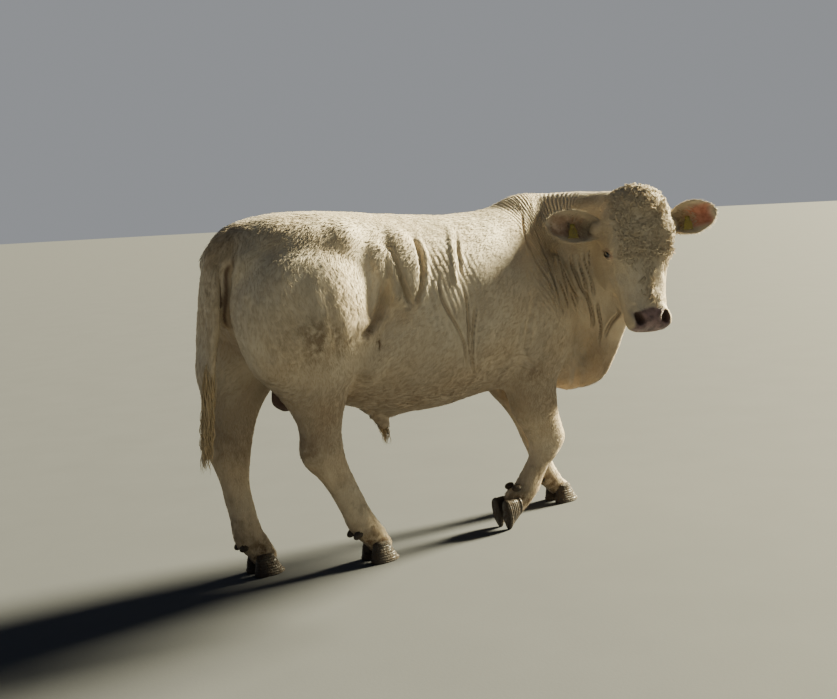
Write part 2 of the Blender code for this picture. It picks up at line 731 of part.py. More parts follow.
def ear_axes(side):
    """The root of an ear, and unit vectors to its tip, out of its cup, and up across it."""
    down, left, out = head_axes()
    way = (left * side + Vector((0, 0, 0.17))).normalized()
    face = (out - way * out.dot(way)).normalized()
    across = way.cross(face) * side
    return on_head(EAR_ROOT[0], side * EAR_ROOT[1], EAR_ROOT[2]), way, face, across


def ear_mesh(side):
    """A cupped leaf with a stem, open toward the face."""
    root, way, face, across = ear_axes(side)
    rows = smooth_rows([(0.00, 0.20, 0.10), (0.16, 0.28, 0.30), (0.34, 0.42, 0.36), (0.55, 0.50, 0.24),
                        (0.76, 0.42, 0.18), (0.92, 0.24, 0.12), (1.00, 0.06, 0.05)], 10, 1)
    rings = []
    for along, half, cup in rows:
        half *= EAR_WIDTH
        thick = 0.006 + 0.030 * max(0.0, 0.32 - along)
        outer, inner = [], []
        for v in np.linspace(-1.0, 1.0, 7):
            bend = cup * EAR_WIDTH * (v * v - 0.6) * 0.9
            centre = root + way * along * EAR_LENGTH + across * v * half + face * bend
            edge = 1.0 - 0.70 * v * v
            outer.append(np.array(centre - face * thick * edge))
            inner.append(np.array(centre + face * thick * edge))
        rings.append(outer + inner[::-1])
    return ring_mesh(rings)


def claw_mesh(toe, heel, y, height, tilt):
    """One claw: a wedge with a sloping front wall, a domed side and a flat sole, then tilted."""
    rings = []
    for level, reach, back, half in ((0.0, 0.0, 0.0, 0.029), (0.3, 0.012, 0.002, 0.028),
                                     (0.7, 0.030, 0.006, 0.025), (1.0, 0.044, 0.012, 0.020)):
        wide, high = oval(12, 2.6, 2.6)
        front = toe - reach
        rear = heel + back
        x = (front + rear) / 2 + wide * (front - rear) / 2
        rings.append(np.stack((x, y + high * half, np.full_like(x, level * height)), -1))
    points, faces = ring_mesh(rings)
    turn = Matrix.Rotation(tilt, 3, "Y")
    pivot = Vector((toe, y, 0.0))
    sink = Vector((0.0, 0.0, -0.004 if tilt else 0.0))
    return [np.array(pivot + sink + turn @ (Vector(p) - pivot)) for p in points], faces


FEET = {
    "hind_right": (-0.200, -0.330, -0.090, 0.0, (-0.372, 0.128)),
    "hind_left": (-0.618, -0.748, 0.090, 0.0, (-0.772, 0.125)),
    "fore_left": (0.925, 0.795, 0.090, 0.0, (0.722, 0.125)),
    "fore_right": (0.366, 0.236, -0.090, math.radians(80.0), (0.432, 0.168)),
}


def feet(pasterns):
    """Two claws and two dewclaws for each foot, seated in its pastern."""
    made = []
    for name, (toe, heel, y, tilt, dewclaw) in FEET.items():
        host = pasterns["leg_" + name + "_pastern"]
        for side, shift in (("outer", 0.031), ("inner", -0.031)):
            at = y + math.copysign(1.0, y) * shift
            claw = mesh_object("claw_%s_%s" % (name, side), *claw_mesh(toe, heel, at, 0.075, tilt))
            floor = region("floor", [((0.0, 0.0, 0.0), (0.0, 0.0, -1.0))])
            boolean(claw, floor, "INTERSECT")
            discard(floor)
            seat(host, claw)
            made.append(claw)
            stub = ball_mesh((dewclaw[0], y + math.copysign(0.024, at - y), dewclaw[1]),
                             (0.024, 0.014, 0.018), 30.0, rings=5, sides=7)
            dew = mesh_object("dewclaw_%s_%s" % (name, side), *stub)
            seat(host, dew)
            made.append(dew)
    return made


def nostrils(head):
    """Two nostrils, each a slanted hollow in the front of the muzzle."""
    down, left, out = head_axes()
    for side in (-1, 1):
        along = (down + left * side * -0.35).normalized()
        across = out.cross(along)
        frame = Matrix((along, across, out)).transposed()
        centre = on_head(NOSTRIL_AT[0], side * NOSTRIL_AT[1], NOSTRIL_AT[2])
        hollow = ball_mesh(centre, (0.021, 0.013, 0.022), frame=frame, rings=6, sides=8)
        cut(head, mesh_object("nostril", *hollow))


def mouth(head):
    """The line of the mouth round the muzzle, with a lip along each side of it."""
    tree = surface_of(head)
    down, left, out = head_axes()
    back = (down * MOUTH_RUN[0] + out * MOUTH_RUN[1]).normalized()
    up = back.cross(left)
    tip = on_head(MOUTH_AT[0], 0.0, MOUTH_AT[1])
    turns = [math.radians(a) for a in np.linspace(-122.0, 122.0, 13)]

    def at_rim(turn, lift):
        """Where the muzzle's surface is, seen from the middle of the mouth's plane."""
        middle = tip + back * 0.070 + up * lift
        way = left * math.sin(turn) - back * math.cos(turn)
        point = tree.ray_cast(middle + way * 0.25, -way)[0]
        return point, way

    lips = []
    for sign in (-1, 1):
        rings = []
        for turn in turns:
            fade = math.cos(turn * 0.62)
            radius = LIP_RADIUS * (0.45 + 0.55 * fade)
            point, way = at_rim(turn, sign * (LIP_RADIUS + 0.001) * (0.7 + 0.3 * fade))
            centre = point - way * radius * (1.15 - 0.65 * fade)
            rings.append([np.array(centre + way * radius * math.cos(a) + up * radius * math.sin(a))
                          for a in np.linspace(0.0, math.tau, 5, endpoint=False)])
        lips.append(mesh_object("lip", *ring_mesh(rings)))
    fuse(head, lips)
    rings = []
    for turn in turns:
        point, way = at_rim(turn, 0.0)
        depth = MOUTH_DEPTH * max(0.0, math.cos(turn * 0.70)) ** 0.5
        inner = point - way * depth
        outer = point + way * 0.02
        rings.append([np.array(p) for p in (inner - up * 0.0008, outer - up * 0.003,
                                            outer + up * 0.003, inner + up * 0.0008)])
    cut(head, mesh_object("mouth_line", *ring_mesh(rings)))


def curls(head):
    """Rounded clumps of curly hair, set close over the poll and the forehead."""
    tree = surface_of(head)
    draw = random.Random(SEED + 2)
    down, left, out = head_axes()
    rows = [(math.radians(a), 0.100, half) for a, half in ((104, 0.060), (80, 0.085), (57, 0.102),
                                                           (35, 0.114), (14, 0.120))]
    rows += [(0.0, along, half) for along, half in ((0.126, 0.122), (0.170, 0.112), (0.213, 0.090),
                                                    (0.255, 0.064), (0.294, 0.030))]
    whorl = on_head(WHORL[0], WHORL[1], 0.08)
    made = []
    for number, (lean, along, half) in enumerate(rows):
        count = max(1, round(2 * half / 0.049))
        for place in range(count):
            across = half * ((place + 0.5 * (number % 2) + 0.25) / count * 2 - 1)
            across += draw.uniform(-0.004, 0.004)
            pivot = on_head(along, across * 0.75, -0.020)
            way = (out * math.cos(lean) - down * math.sin(lean) + left * across * 2.2).normalized()
            point, normal = tree.ray_cast(pivot + way * 0.3, -way)[:2]
            if point is None:
                continue
            lie = point - whorl + normal.orthogonal().normalized() * draw.uniform(0.01, 0.03)
            lie = (lie - normal * lie.dot(normal)).normalized()
            frame = Matrix((lie, normal.cross(lie), normal)).transposed()
            size = draw.uniform(0.88, 1.12)
            ball = ball_mesh(point - normal * 0.004, [r * size for r in CURL], frame=frame, rings=3, sides=7)
            made.append(mesh_object("curl", *ball))
    fuse(head, made)


def eyes(head):
    """Eyeballs, each behind an upper and a lower lid that part in an almond opening."""
    tree = surface_of(head)
    down, left, out = head_axes()
    made = []
    for side, word in ((-1, "right"), (1, "left")):
        look = (left * side * 0.88 + out * 0.47).normalized()
        long = out + down * 0.35
        long = (long - look * long.dot(look)).normalized()
        high = look.cross(long)
        start = on_head(EYE_AT[0], side * 0.134, EYE_AT[1]) + look * 0.1
        point = tree.ray_cast(start, -look)[0]
        centre = point - look * (EYE_RADIUS - EYE_PROUD)
        frame = Matrix((long, high, look)).transposed()
        lid = ball_mesh(centre, (EYE_RADIUS + LID,) * 3, frame=frame, rings=8, sides=11)
        fuse(head, [mesh_object("lid", *lid)])
        rings = []
        for depth in (0.0, 0.06):
            rings.append([np.array(centre + look * depth + long * EYE_OPENING[0] * math.cos(a)
                                   + high * EYE_OPENING[1] * math.sin(a) * abs(math.sin(a)) ** 0.3)
                          for a in np.linspace(0.0, math.tau, 10, endpoint=False)])
        cut(head, mesh_object("opening", *ring_mesh(rings)))
        ball = ball_mesh(centre, (EYE_RADIUS,) * 3, frame=frame, rings=8, sides=12)
        eye = mesh_object("eye_" + word, *ball)
        seat(head, eye)
        made.append(eye)
    return made


def ear_tag(side, word):
    """A blank yellow plate hung in the cup of the ear by a stud through it."""
    root, way, face, across = ear_axes(side)
    hang = Vector((0.0, 0.0, -1.0))
    hang = (hang - face * hang.dot(face)).normalized()
    wide = hang.cross(face)
    stud = root + way * TAG_ALONG[word] * EAR_LENGTH
    plate = stud + face * 0.012 + hang * (TAG_HEIGHT / 2 - 0.010)
    outline = []
    for turn in range(4):
        for step in range(3):
            angle = math.radians(45.0 * step + 90.0 * turn)
            corner = Vector((math.copysign(1, math.cos(math.radians(90 * turn + 45))),
                             math.copysign(1, math.sin(math.radians(90 * turn + 45)))))
            outline.append((corner.x * (TAG_WIDTH / 2 - 0.006) + 0.006 * math.cos(angle),
                            corner.y * (TAG_HEIGHT / 2 - 0.006) + 0.006 * math.sin(angle)))
    rings = [[np.array(plate + wide * u + hang * v + face * depth) for u, v in outline]
             for depth in (0.0, TAG_THICKNESS)]
    tag = mesh_object("ear_tag_" + word, *ring_mesh(rings))
    pin = []
    for depth in (-0.026, TAG_THICKNESS + 0.0115):
        pin.append([np.array(stud + face * depth + wide * 0.005 * math.cos(a) + hang * 0.005 * math.sin(a))
                    for a in np.linspace(0, math.tau, 8, endpoint=False)])
    fuse(tag, [mesh_object("stud", *ring_mesh(pin))])
    return tag


def ears(head):
    """The ears, rooted in the head, each with its tag."""
    made = []
    for side, word in ((-1, "right"), (1, "left")):
        ear = mesh_object("ear_" + word, *ear_mesh(side))
        seat(head, ear, 1.5 * GAP)
        tag = ear_tag(side, word)
        seat(ear, tag)
        made += [ear, tag]
    return made


# How each group of nodes is finished: the start of its names, colour, roughness
FINISHES = [
    ("claw", "horn", 0.45), ("dewclaw", "horn", 0.5), ("eye", "eye", 0.08), ("ear_tag", "tag", 0.4),
    ("tail_switch", "switch", 0.8), ("scrotum", "skin_dark", 0.6), ("sheath", "coat_dull", 0.8),
    ("leg", "coat_dull", 0.85), ("", "coat", 0.85),
]


def finish(nodes):
    """Move the bull over its origin and give every node its own material."""
    for node in nodes:
        node.data.transform(Matrix.Translation(-ORIGIN))
        node.data.materials.clear()
        colour, roughness = next(f[1:] for f in FINISHES if node.name.startswith(f[0]))
        node.data.materials.append(material(node.name, colour, roughness))
        node.data.shade_smooth()
        node.data.set_sharp_from_angle(angle=math.radians(40))


def main():
    clear_scene()
    body = body_form()
    body.name = "torso"
    head, neck = head_and_neck(body)
    legs = leg_nodes(body)
    named = {leg.name: leg for leg in legs}
    scrotum = scrotum_node((body, named["leg_hind_right_upper"], named["leg_hind_left_upper"]))
    nodes = [body, head, neck, scrotum, sheath_node(body)]
    nodes += tail_nodes((body, named["leg_hind_right_upper"], named["leg_hind_left_upper"]))
    nodes += legs + feet(named) + eyes(head)
    nostrils(head)
    mouth(head)
    curls(head)
    nodes += ears(head)
    finish(nodes)


main()
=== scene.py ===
"""Looks of a life-size Charolais bull, walking with its head turned to its right.

Lengths are in metres. The tables give the bull in its own frame: +X forward, +Y to its left,
the trunk's midline on y = 0. ORIGIN moves every finished piece into the frame of the solids.
"""

import math

import bmesh
import bpy
import numpy as np
from bpy.props import FloatProperty, FloatVectorProperty, IntProperty, PointerProperty
from bpy.types import Operator, Panel, PropertyGroup
from mathutils import Matrix, Vector
from mathutils.bvhtree import BVHTree


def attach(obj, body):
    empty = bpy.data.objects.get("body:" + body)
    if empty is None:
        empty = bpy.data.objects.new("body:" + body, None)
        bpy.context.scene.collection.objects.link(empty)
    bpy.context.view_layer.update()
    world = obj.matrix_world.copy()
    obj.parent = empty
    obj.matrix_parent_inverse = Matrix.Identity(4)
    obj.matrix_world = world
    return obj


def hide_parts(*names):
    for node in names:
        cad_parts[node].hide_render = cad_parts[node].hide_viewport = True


bl_info = {
    "name": "Charolais Bull",
    "version": (1, 0, 0),
    "blender": (4, 5, 0),
    "location": "View3D > Sidebar > Bull",
    "description": "Skin, coat, hooves, eyes and tags of a walking bull, and its studio",
    "category": "Object",
}

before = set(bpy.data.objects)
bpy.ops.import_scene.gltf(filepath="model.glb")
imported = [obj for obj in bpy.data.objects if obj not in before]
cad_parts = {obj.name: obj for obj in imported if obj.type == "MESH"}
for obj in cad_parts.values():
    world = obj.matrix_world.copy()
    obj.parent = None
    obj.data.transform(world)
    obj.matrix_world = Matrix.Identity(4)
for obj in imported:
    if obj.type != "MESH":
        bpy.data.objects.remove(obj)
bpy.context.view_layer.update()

ORIGIN = np.array((0.059, -0.185, 0.0))
SKIN_NODES = ("torso", "neck", "head", "ear_left", "ear_right", "leg_", "scrotum", "sheath")
RING = 40

# Trunk: x, top, bottom, half width, height where it is widest, squareness of back and belly
TRUNK = [
    (-0.865, 1.27, 1.02, 0.085, 1.17, 2.4, 2.2),
    (-0.8, 1.332, 0.92, 0.165, 1.17, 2.6, 2.2),
    (-0.7, 1.368, 0.8, 0.225, 1.17, 2.9, 2.2),
    (-0.56, 1.386, 0.7, 0.262, 1.15, 3.0, 2.2),
    (-0.42, 1.384, 0.648, 0.272, 1.12, 3.0, 2.2),
    (-0.3, 1.376, 0.606, 0.278, 1.05, 2.9, 2.2),
    (-0.15, 1.362, 0.566, 0.305, 0.95, 2.7, 2.2),
    (0.02, 1.35, 0.556, 0.328, 0.92, 2.5, 2.2),
    (0.2, 1.342, 0.578, 0.33, 0.92, 2.4, 2.2),
    (0.36, 1.35, 0.59, 0.305, 0.92, 2.2, 2.2),
    (0.5, 1.372, 0.586, 0.275, 0.92, 2.0, 2.2),
    (0.62, 1.385, 0.57, 0.245, 0.9, 1.9, 2.2),
    (0.74, 1.34, 0.56, 0.205, 0.88, 2.0, 2.2),
    (0.84, 1.18, 0.59, 0.15, 0.85, 2.0, 2.2),
    (0.9, 1.02, 0.66, 0.07, 0.82, 2.0, 2.0),
]
# Neck, dewlap, tail and sheath: centre x, y, z, half height, half width
NECK = [
    (0.52, 0.0, 1.02, 0.352, 0.215),
    (0.65, -0.04, 1.052, 0.37, 0.195),
    (0.745, -0.11, 1.085, 0.35, 0.175),
    (0.795, -0.2, 1.126, 0.308, 0.162),
    (0.81, -0.29, 1.161, 0.266, 0.156),
    (0.806, -0.38, 1.194, 0.222, 0.15),
    (0.79, -0.46, 1.215, 0.18, 0.137),
    (0.768, -0.52, 1.225, 0.16, 0.118),
]
DEWLAP = [
    (0.78, -0.45, 1.06, 0.075, 0.055),
    (0.804, -0.36, 0.92, 0.09, 0.055),
    (0.828, -0.25, 0.78, 0.1, 0.06),
    (0.828, -0.14, 0.665, 0.105, 0.072),
    (0.75, -0.05, 0.62, 0.09, 0.08),
]
TAIL = [
    (-0.72, 0.0, 1.3, 0.048, 0.05),
    (-0.79, 0.0, 1.29, 0.046, 0.05),
    (-0.848, -0.01, 1.245, 0.038, 0.042),
    (-0.882, -0.036, 1.15, 0.03, 0.033),
    (-0.896, -0.046, 1.04, 0.025, 0.029),
    (-0.906, -0.04, 0.92, 0.022, 0.027),
    (-0.914, -0.02, 0.8, 0.018, 0.022),
    (-0.922, -0.004, 0.7, 0.013, 0.016),
    (-0.928, 0.002, 0.6, 0.007, 0.008),
]
SHEATH = [
    (-0.185, 0.0, 0.575, 0.04, 0.04),
    (-0.168, 0.0, 0.545, 0.034, 0.032),
    (-0.158, 0.0, 0.52, 0.026, 0.025),
    (-0.152, 0.0, 0.5, 0.018, 0.018),
]
SCROTUM = [
    (-0.6, 0.0, 0.8, 0.03, 0.03),
    (-0.6, 0.0, 0.755, 0.04, 0.04),
    (-0.598, 0.0, 0.705, 0.055, 0.052),
    (-0.594, 0.0, 0.66, 0.052, 0.05),
    (-0.59, 0.0, 0.632, 0.02, 0.02),
]

# Head: where the hair of the poll is highest, and how the face is turned
HEAD_TOP = Vector((0.741, -0.53, 1.417))
HEADING = math.radians(248.0)
FACE_SLOPE = math.radians(80.0)
HEAD_ROLL = math.radians(-1.2)
HEAD_SCALE = 0.997
# along the face, half width, face line, line of nape and jaw
HEAD = [
    (0.006, 0.05, 0.04, -0.04),
    (0.03, 0.098, 0.058, -0.085),
    (0.07, 0.128, 0.072, -0.125),
    (0.12, 0.142, 0.08, -0.155),
    (0.18, 0.146, 0.08, -0.175),
    (0.235, 0.141, 0.075, -0.192),
    (0.28, 0.131, 0.068, -0.206),
    (0.33, 0.12, 0.064, -0.21),
    (0.38, 0.112, 0.062, -0.206),
    (0.43, 0.102, 0.061, -0.184),
    (0.48, 0.095, 0.063, -0.15),
    (0.525, 0.093, 0.066, -0.104),
    (0.552, 0.093, 0.062, -0.088),
    (0.574, 0.083, 0.046, -0.076),
    (0.588, 0.056, 0.016, -0.054),
]
EYE_AT = (0.268, 0.134, 0.0)
WHORL = (0.142, -0.023, 0.08)
NOSTRIL_AT = (0.535, 0.056, 0.058)
MOUTH_AT = (0.583, 0.0)
MOUTH_RUN = (-0.1, -0.075)
EAR_ROOT = (0.165, 0.112, -0.035)
EAR_LENGTH = 0.262
EAR_WIDTH = 0.136
# Ear: share of its length, half width and depth of its cup in widths
EAR = [(0.0, 0.2, 0.1), (0.16, 0.28, 0.3), (0.34, 0.42, 0.36), (0.55, 0.5, 0.24), (0.76, 0.42, 0.18),
       (0.92, 0.24, 0.12), (1.0, 0.06, 0.05)]

# Legs: height, front, back, y, half width
LEGS = {
    "hind_right": [
        (1.27, -0.42, -0.74, -0.13, 0.11),
        (1.18, -0.34, -0.82, -0.155, 0.145),
        (1.08, -0.305, -0.862, -0.17, 0.158),
        (0.97, -0.312, -0.87, -0.178, 0.15),
        (0.88, -0.352, -0.842, -0.175, 0.132),
        (0.8, -0.385, -0.795, -0.163, 0.112),
        (0.72, -0.408, -0.712, -0.15, 0.09),
        (0.64, -0.428, -0.648, -0.135, 0.072),
        (0.56, -0.433, -0.612, -0.12, 0.058),
        (0.49, -0.42, -0.616, -0.108, 0.052),
        (0.43, -0.405, -0.592, -0.1, 0.047),
        (0.37, -0.38, -0.53, -0.097, 0.043),
        (0.3, -0.35, -0.482, -0.094, 0.042),
        (0.23, -0.314, -0.442, -0.091, 0.042),
        (0.175, -0.28, -0.418, -0.09, 0.046),
        (0.135, -0.25, -0.396, -0.09, 0.05),
        (0.1, -0.232, -0.362, -0.09, 0.048),
        (0.07, -0.214, -0.33, -0.09, 0.046),
        (0.04, -0.225, -0.31, -0.09, 0.04),
    ],
    "hind_left": [
        (1.27, -0.42, -0.74, 0.13, 0.11),
        (1.18, -0.35, -0.82, 0.155, 0.145),
        (1.08, -0.345, -0.838, 0.165, 0.152),
        (0.97, -0.39, -0.85, 0.17, 0.145),
        (0.88, -0.445, -0.862, 0.17, 0.13),
        (0.8, -0.505, -0.88, 0.163, 0.112),
        (0.72, -0.575, -0.876, 0.15, 0.09),
        (0.64, -0.64, -0.876, 0.132, 0.07),
        (0.56, -0.682, -0.88, 0.116, 0.058),
        (0.49, -0.702, -0.886, 0.106, 0.052),
        (0.43, -0.716, -0.866, 0.1, 0.047),
        (0.37, -0.724, -0.846, 0.097, 0.043),
        (0.3, -0.72, -0.834, 0.094, 0.042),
        (0.23, -0.706, -0.82, 0.091, 0.042),
        (0.175, -0.688, -0.812, 0.09, 0.046),
        (0.13, -0.664, -0.802, 0.09, 0.05),
        (0.1, -0.65, -0.778, 0.09, 0.048),
        (0.07, -0.634, -0.75, 0.09, 0.046),
        (0.04, -0.644, -0.73, 0.09, 0.04),
    ],
    "fore_right": [
        (0.92, 0.66, 0.34, -0.18, 0.115),
        (0.8, 0.668, 0.345, -0.19, 0.112),
        (0.7, 0.64, 0.348, -0.178, 0.094),
        (0.62, 0.622, 0.365, -0.155, 0.078),
        (0.54, 0.638, 0.394, -0.135, 0.068),
        (0.47, 0.662, 0.432, -0.12, 0.062),
        (0.405, 0.692, 0.482, -0.108, 0.058),
        (0.35, 0.712, 0.522, -0.1, 0.056),
        (0.295, 0.684, 0.528, -0.095, 0.05),
        (0.245, 0.628, 0.5, -0.092, 0.045),
        (0.195, 0.59, 0.462, -0.09, 0.046),
        (0.155, 0.566, 0.43, -0.09, 0.05),
        (0.12, 0.538, 0.398, -0.09, 0.048),
        (0.085, 0.498, 0.378, -0.09, 0.044),
        (0.055, 0.45, 0.366, -0.09, 0.038),
    ],
    "fore_left": [
        (0.92, 0.66, 0.36, 0.18, 0.115),
        (0.8, 0.68, 0.37, 0.19, 0.112),
        (0.7, 0.68, 0.4, 0.178, 0.094),
        (0.62, 0.696, 0.445, 0.155, 0.078),
        (0.54, 0.726, 0.51, 0.135, 0.068),
        (0.47, 0.756, 0.566, 0.12, 0.062),
        (0.405, 0.78, 0.61, 0.108, 0.058),
        (0.35, 0.79, 0.634, 0.1, 0.056),
        (0.295, 0.784, 0.655, 0.095, 0.05),
        (0.24, 0.79, 0.678, 0.092, 0.044),
        (0.19, 0.802, 0.69, 0.09, 0.045),
        (0.14, 0.832, 0.7, 0.09, 0.05),
        (0.105, 0.856, 0.726, 0.09, 0.048),
        (0.07, 0.898, 0.772, 0.09, 0.046),
        (0.04, 0.9, 0.8, 0.09, 0.04),
    ],
}
# Feet: toe x, heel x, y, tilt, place of the dewclaws
FEET = {
    "hind_right": (-0.2, -0.33, -0.09, 0.0, (-0.372, 0.128)),
    "hind_left": (-0.618, -0.748, 0.09, 0.0, (-0.772, 0.125)),
    "fore_left": (0.925, 0.795, 0.09, 0.0, (0.722, 0.125)),
    "fore_right": (0.366, 0.236, -0.09, math.radians(80.0), (0.432, 0.168)),
}
# Round masses that the lofts alone don't give: centre, radii, slope about Y in degrees
MASSES = [
    ((0.51, -0.195, 0.89), (0.2, 0.115, 0.29), 16.0),
    ((0.51, 0.195, 0.89), (0.2, 0.115, 0.29), 16.0),
    ((0.68, -0.125, 0.81), (0.13, 0.105, 0.18), 10.0),
    ((0.68, 0.12, 0.81), (0.13, 0.105, 0.18), 10.0),
    ((0.775, -0.07, 0.668), (0.15, 0.115, 0.125), 0.0),
    ((-0.765, -0.12, 1.205), (0.085, 0.085, 0.085), 0.0),
    ((-0.765, 0.12, 1.205), (0.085, 0.085, 0.085), 0.0),
    ((-0.44, -0.19, 1.245), (0.13, 0.08, 0.1), 0.0),
    ((-0.44, 0.19, 1.245), (0.13, 0.08, 0.1), 0.0),
    ((-0.36, -0.205, 0.88), (0.1, 0.065, 0.16), -20.0),
    ((-0.46, 0.19, 0.91), (0.11, 0.065, 0.15), -20.0),
    ((0.425, -0.09, 0.12), (0.045, 0.04, 0.05), 10.0),
    ((-0.15, 0.0, 0.584), (0.11, 0.055, 0.045), 5.0),
]

# Folds of the skin: width, depth (raised where negative), painted shade in the fold, both sides or not,
# points
FOLDS = [
    (0.006, 0.013, 1.0, 0, ((0.6, -0.249, 1.121), (0.603, -0.272, 1.074), (0.622, -0.279, 1.023),
     (0.643, -0.279, 0.988), (0.676, -0.278, 0.947))),
    (0.0065, 0.015, 1.0, 0, ((0.648, -0.258, 1.171), (0.647, -0.273, 1.096), (0.657, -0.286, 1.054),
     (0.674, -0.297, 0.998), (0.691, -0.308, 0.964), (0.703, -0.309, 0.938))),
    (0.007, 0.016, 1.0, 0, ((0.654, -0.294, 1.171), (0.657, -0.306, 1.104), (0.668, -0.316, 1.05),
     (0.682, -0.31, 0.99), (0.698, -0.308, 0.946), (0.729, -0.294, 0.875), (0.749, -0.26, 0.8))),
    (0.006, 0.014, 1.0, 0, ((0.657, -0.328, 1.171), (0.663, -0.336, 1.104), (0.67, -0.345, 1.071),
     (0.686, -0.345, 1.011), (0.697, -0.335, 0.96))),
    (0.006, 0.012, 0.9, 0, ((0.658, -0.365, 1.175), (0.663, -0.356, 1.12), (0.667, -0.348, 1.07))),
    (0.006, 0.013, 1.0, 0, ((0.714, -0.342, 0.965), (0.728, -0.33, 0.918), (0.745, -0.32, 0.875),
     (0.758, -0.313, 0.835), (0.769, -0.273, 0.75))),
    (0.0055, 0.011, 0.9, 0, ((0.552, -0.285, 1.06), (0.558, -0.289, 1.037), (0.576, -0.296, 0.986),
     (0.597, -0.296, 0.93))),
    (0.0055, 0.011, 0.9, 0, ((0.618, -0.284, 1.0), (0.624, -0.286, 0.973), (0.663, -0.272, 0.915))),
    (0.0065, 0.012, 0.9, 0, ((0.743, -0.404, 0.938), (0.757, -0.423, 0.902), (0.757, -0.387, 0.869),
     (0.761, -0.351, 0.833), (0.767, -0.313, 0.78))),
    (0.006, 0.01, 0.8, 0, ((0.614, -0.204, 1.19), (0.59, -0.274, 1.076), (0.598, -0.295, 0.951))),
    (0.006, 0.006, 0.5, 0, ((0.53, -0.1, 1.351), (0.454, -0.213, 1.22), (0.473, -0.254, 1.125),
     (0.504, -0.289, 1.041), (0.522, -0.305, 0.941))),
    (0.006, 0.0065, 0.6, 0, ((0.54, -0.137, 1.308), (0.533, -0.22, 1.174), (0.527, -0.277, 1.08),
     (0.548, -0.305, 0.914))),
    (0.009, -0.007, 0.0, 1, ((0.077, -0.182, 1.302), (0.024, -0.271, 1.207), (0.008, -0.31, 1.101),
     (0.012, -0.319, 1.047))),
    (0.008, 0.008, 0.3, 1, ((0.104, -0.182, 1.292), (0.05, -0.271, 1.197), (0.034, -0.31, 1.095))),
    (0.0055, 0.01, 0.75, 1, ((0.034, -0.313, 1.091), (0.048, -0.326, 1.002), (0.05, -0.328, 0.908),
     (0.052, -0.319, 0.818), (0.088, -0.284, 0.7))),
    (0.0055, 0.0105, 0.75, 1, ((0.096, -0.327, 1.009), (0.073, -0.329, 0.906), (0.066, -0.32, 0.816),
     (0.093, -0.284, 0.7))),
    (0.006, 0.009, 0.55, 1, ((-0.067, -0.292, 1.148), (-0.067, -0.314, 1.023), (-0.026, -0.323, 0.943),
     (0.013, -0.323, 0.873), (0.053, -0.293, 0.72))),
    (0.03, -0.026, 0.0, 1, ((-0.205, -0.19, 1.32), (-0.19, -0.285, 1.136), (-0.196, -0.293, 1.04))),
    (0.011, 0.02, 0.2, 1, ((-0.128, -0.235, 1.285), (-0.13, -0.281, 1.173), (-0.146, -0.295, 1.096),
     (-0.19, -0.296, 0.995))),
    (0.026, -0.028, 0.0, 1, ((-0.33, -0.24, 1.275), (-0.272, -0.283, 1.095), (-0.228, -0.293, 1.0))),
    (0.01, 0.017, 0.25, 1, ((-0.262, -0.245, 1.255), (-0.222, -0.287, 1.1), (-0.184, -0.294, 0.99))),
    (0.016, 0.024, 0.25, 1, ((-0.292, -0.262, 1.23), (-0.288, -0.277, 1.099), (-0.304, -0.276, 1.02),
     (-0.366, -0.278, 0.945), (-0.45, -0.303, 0.905))),
    (0.024, 0.007, 0.0, 1, ((-0.586, -0.313, 1.17), (-0.563, -0.329, 1.007), (-0.52, -0.312, 0.88))),
    (0.02, 0.012, 0.0, 1, ((-0.85, -0.215, 1.11), (-0.833, -0.258, 0.973), (-0.775, -0.264, 0.85))),
    (0.017, 0.03, 1.3, 0, ((-0.828, -0.125, 1.235), (-0.852, -0.1, 1.18), (-0.853, -0.092, 1.121),
     (-0.854, -0.077, 1.059), (-0.85, -0.055, 1.0), (-0.83, -0.03, 0.94))),
    (0.017, 0.03, 1.0, 0, ((-0.828, 0.07, 1.235), (-0.852, 0.05, 1.18), (-0.853, 0.042, 1.121),
     (-0.854, 0.032, 1.059), (-0.85, 0.015, 1.0), (-0.83, -0.005, 0.94))),
    (0.014, 0.012, 0.25, 0, ((0.71, -0.22, 0.7), (0.735, -0.172, 0.625), (0.762, -0.12, 0.56))),
    (0.013, 0.011, 0.0, 1, ((0.42, -0.3, 1.02), (0.372, -0.31, 0.88), (0.35, -0.285, 0.75))),
    (0.012, 0.01, 0.15, 1, ((0.42, -0.27, 0.7), (0.35, -0.29, 0.74), (0.25, -0.3, 0.7))),
]
# Forms of the face, on both sides: depth (raised where negative), place on the head, radii
HEAD_FORMS = [
    (0.01, (0.19, 0.142, 0.0), (0.045, 0.045, 0.045)),
    (-0.007, (0.226, 0.116, 0.045), (0.045, 0.04, 0.035)),
    (0.01, (0.35, 0.098, 0.025), (0.06, 0.035, 0.05)),
    (-0.006, (0.375, 0.11, -0.045), (0.085, 0.03, 0.02)),
    (0.01, (0.425, 0.094, -0.105), (0.065, 0.04, 0.045)),
    (0.007, (0.486, 0.078, 0.03), (0.028, 0.04, 0.04)),
    (-0.006, (0.4, 0.0, 0.062), (0.11, 0.028, 0.03)),
    (0.006, (0.215, 0.045, 0.085), (0.05, 0.03, 0.03)),
]
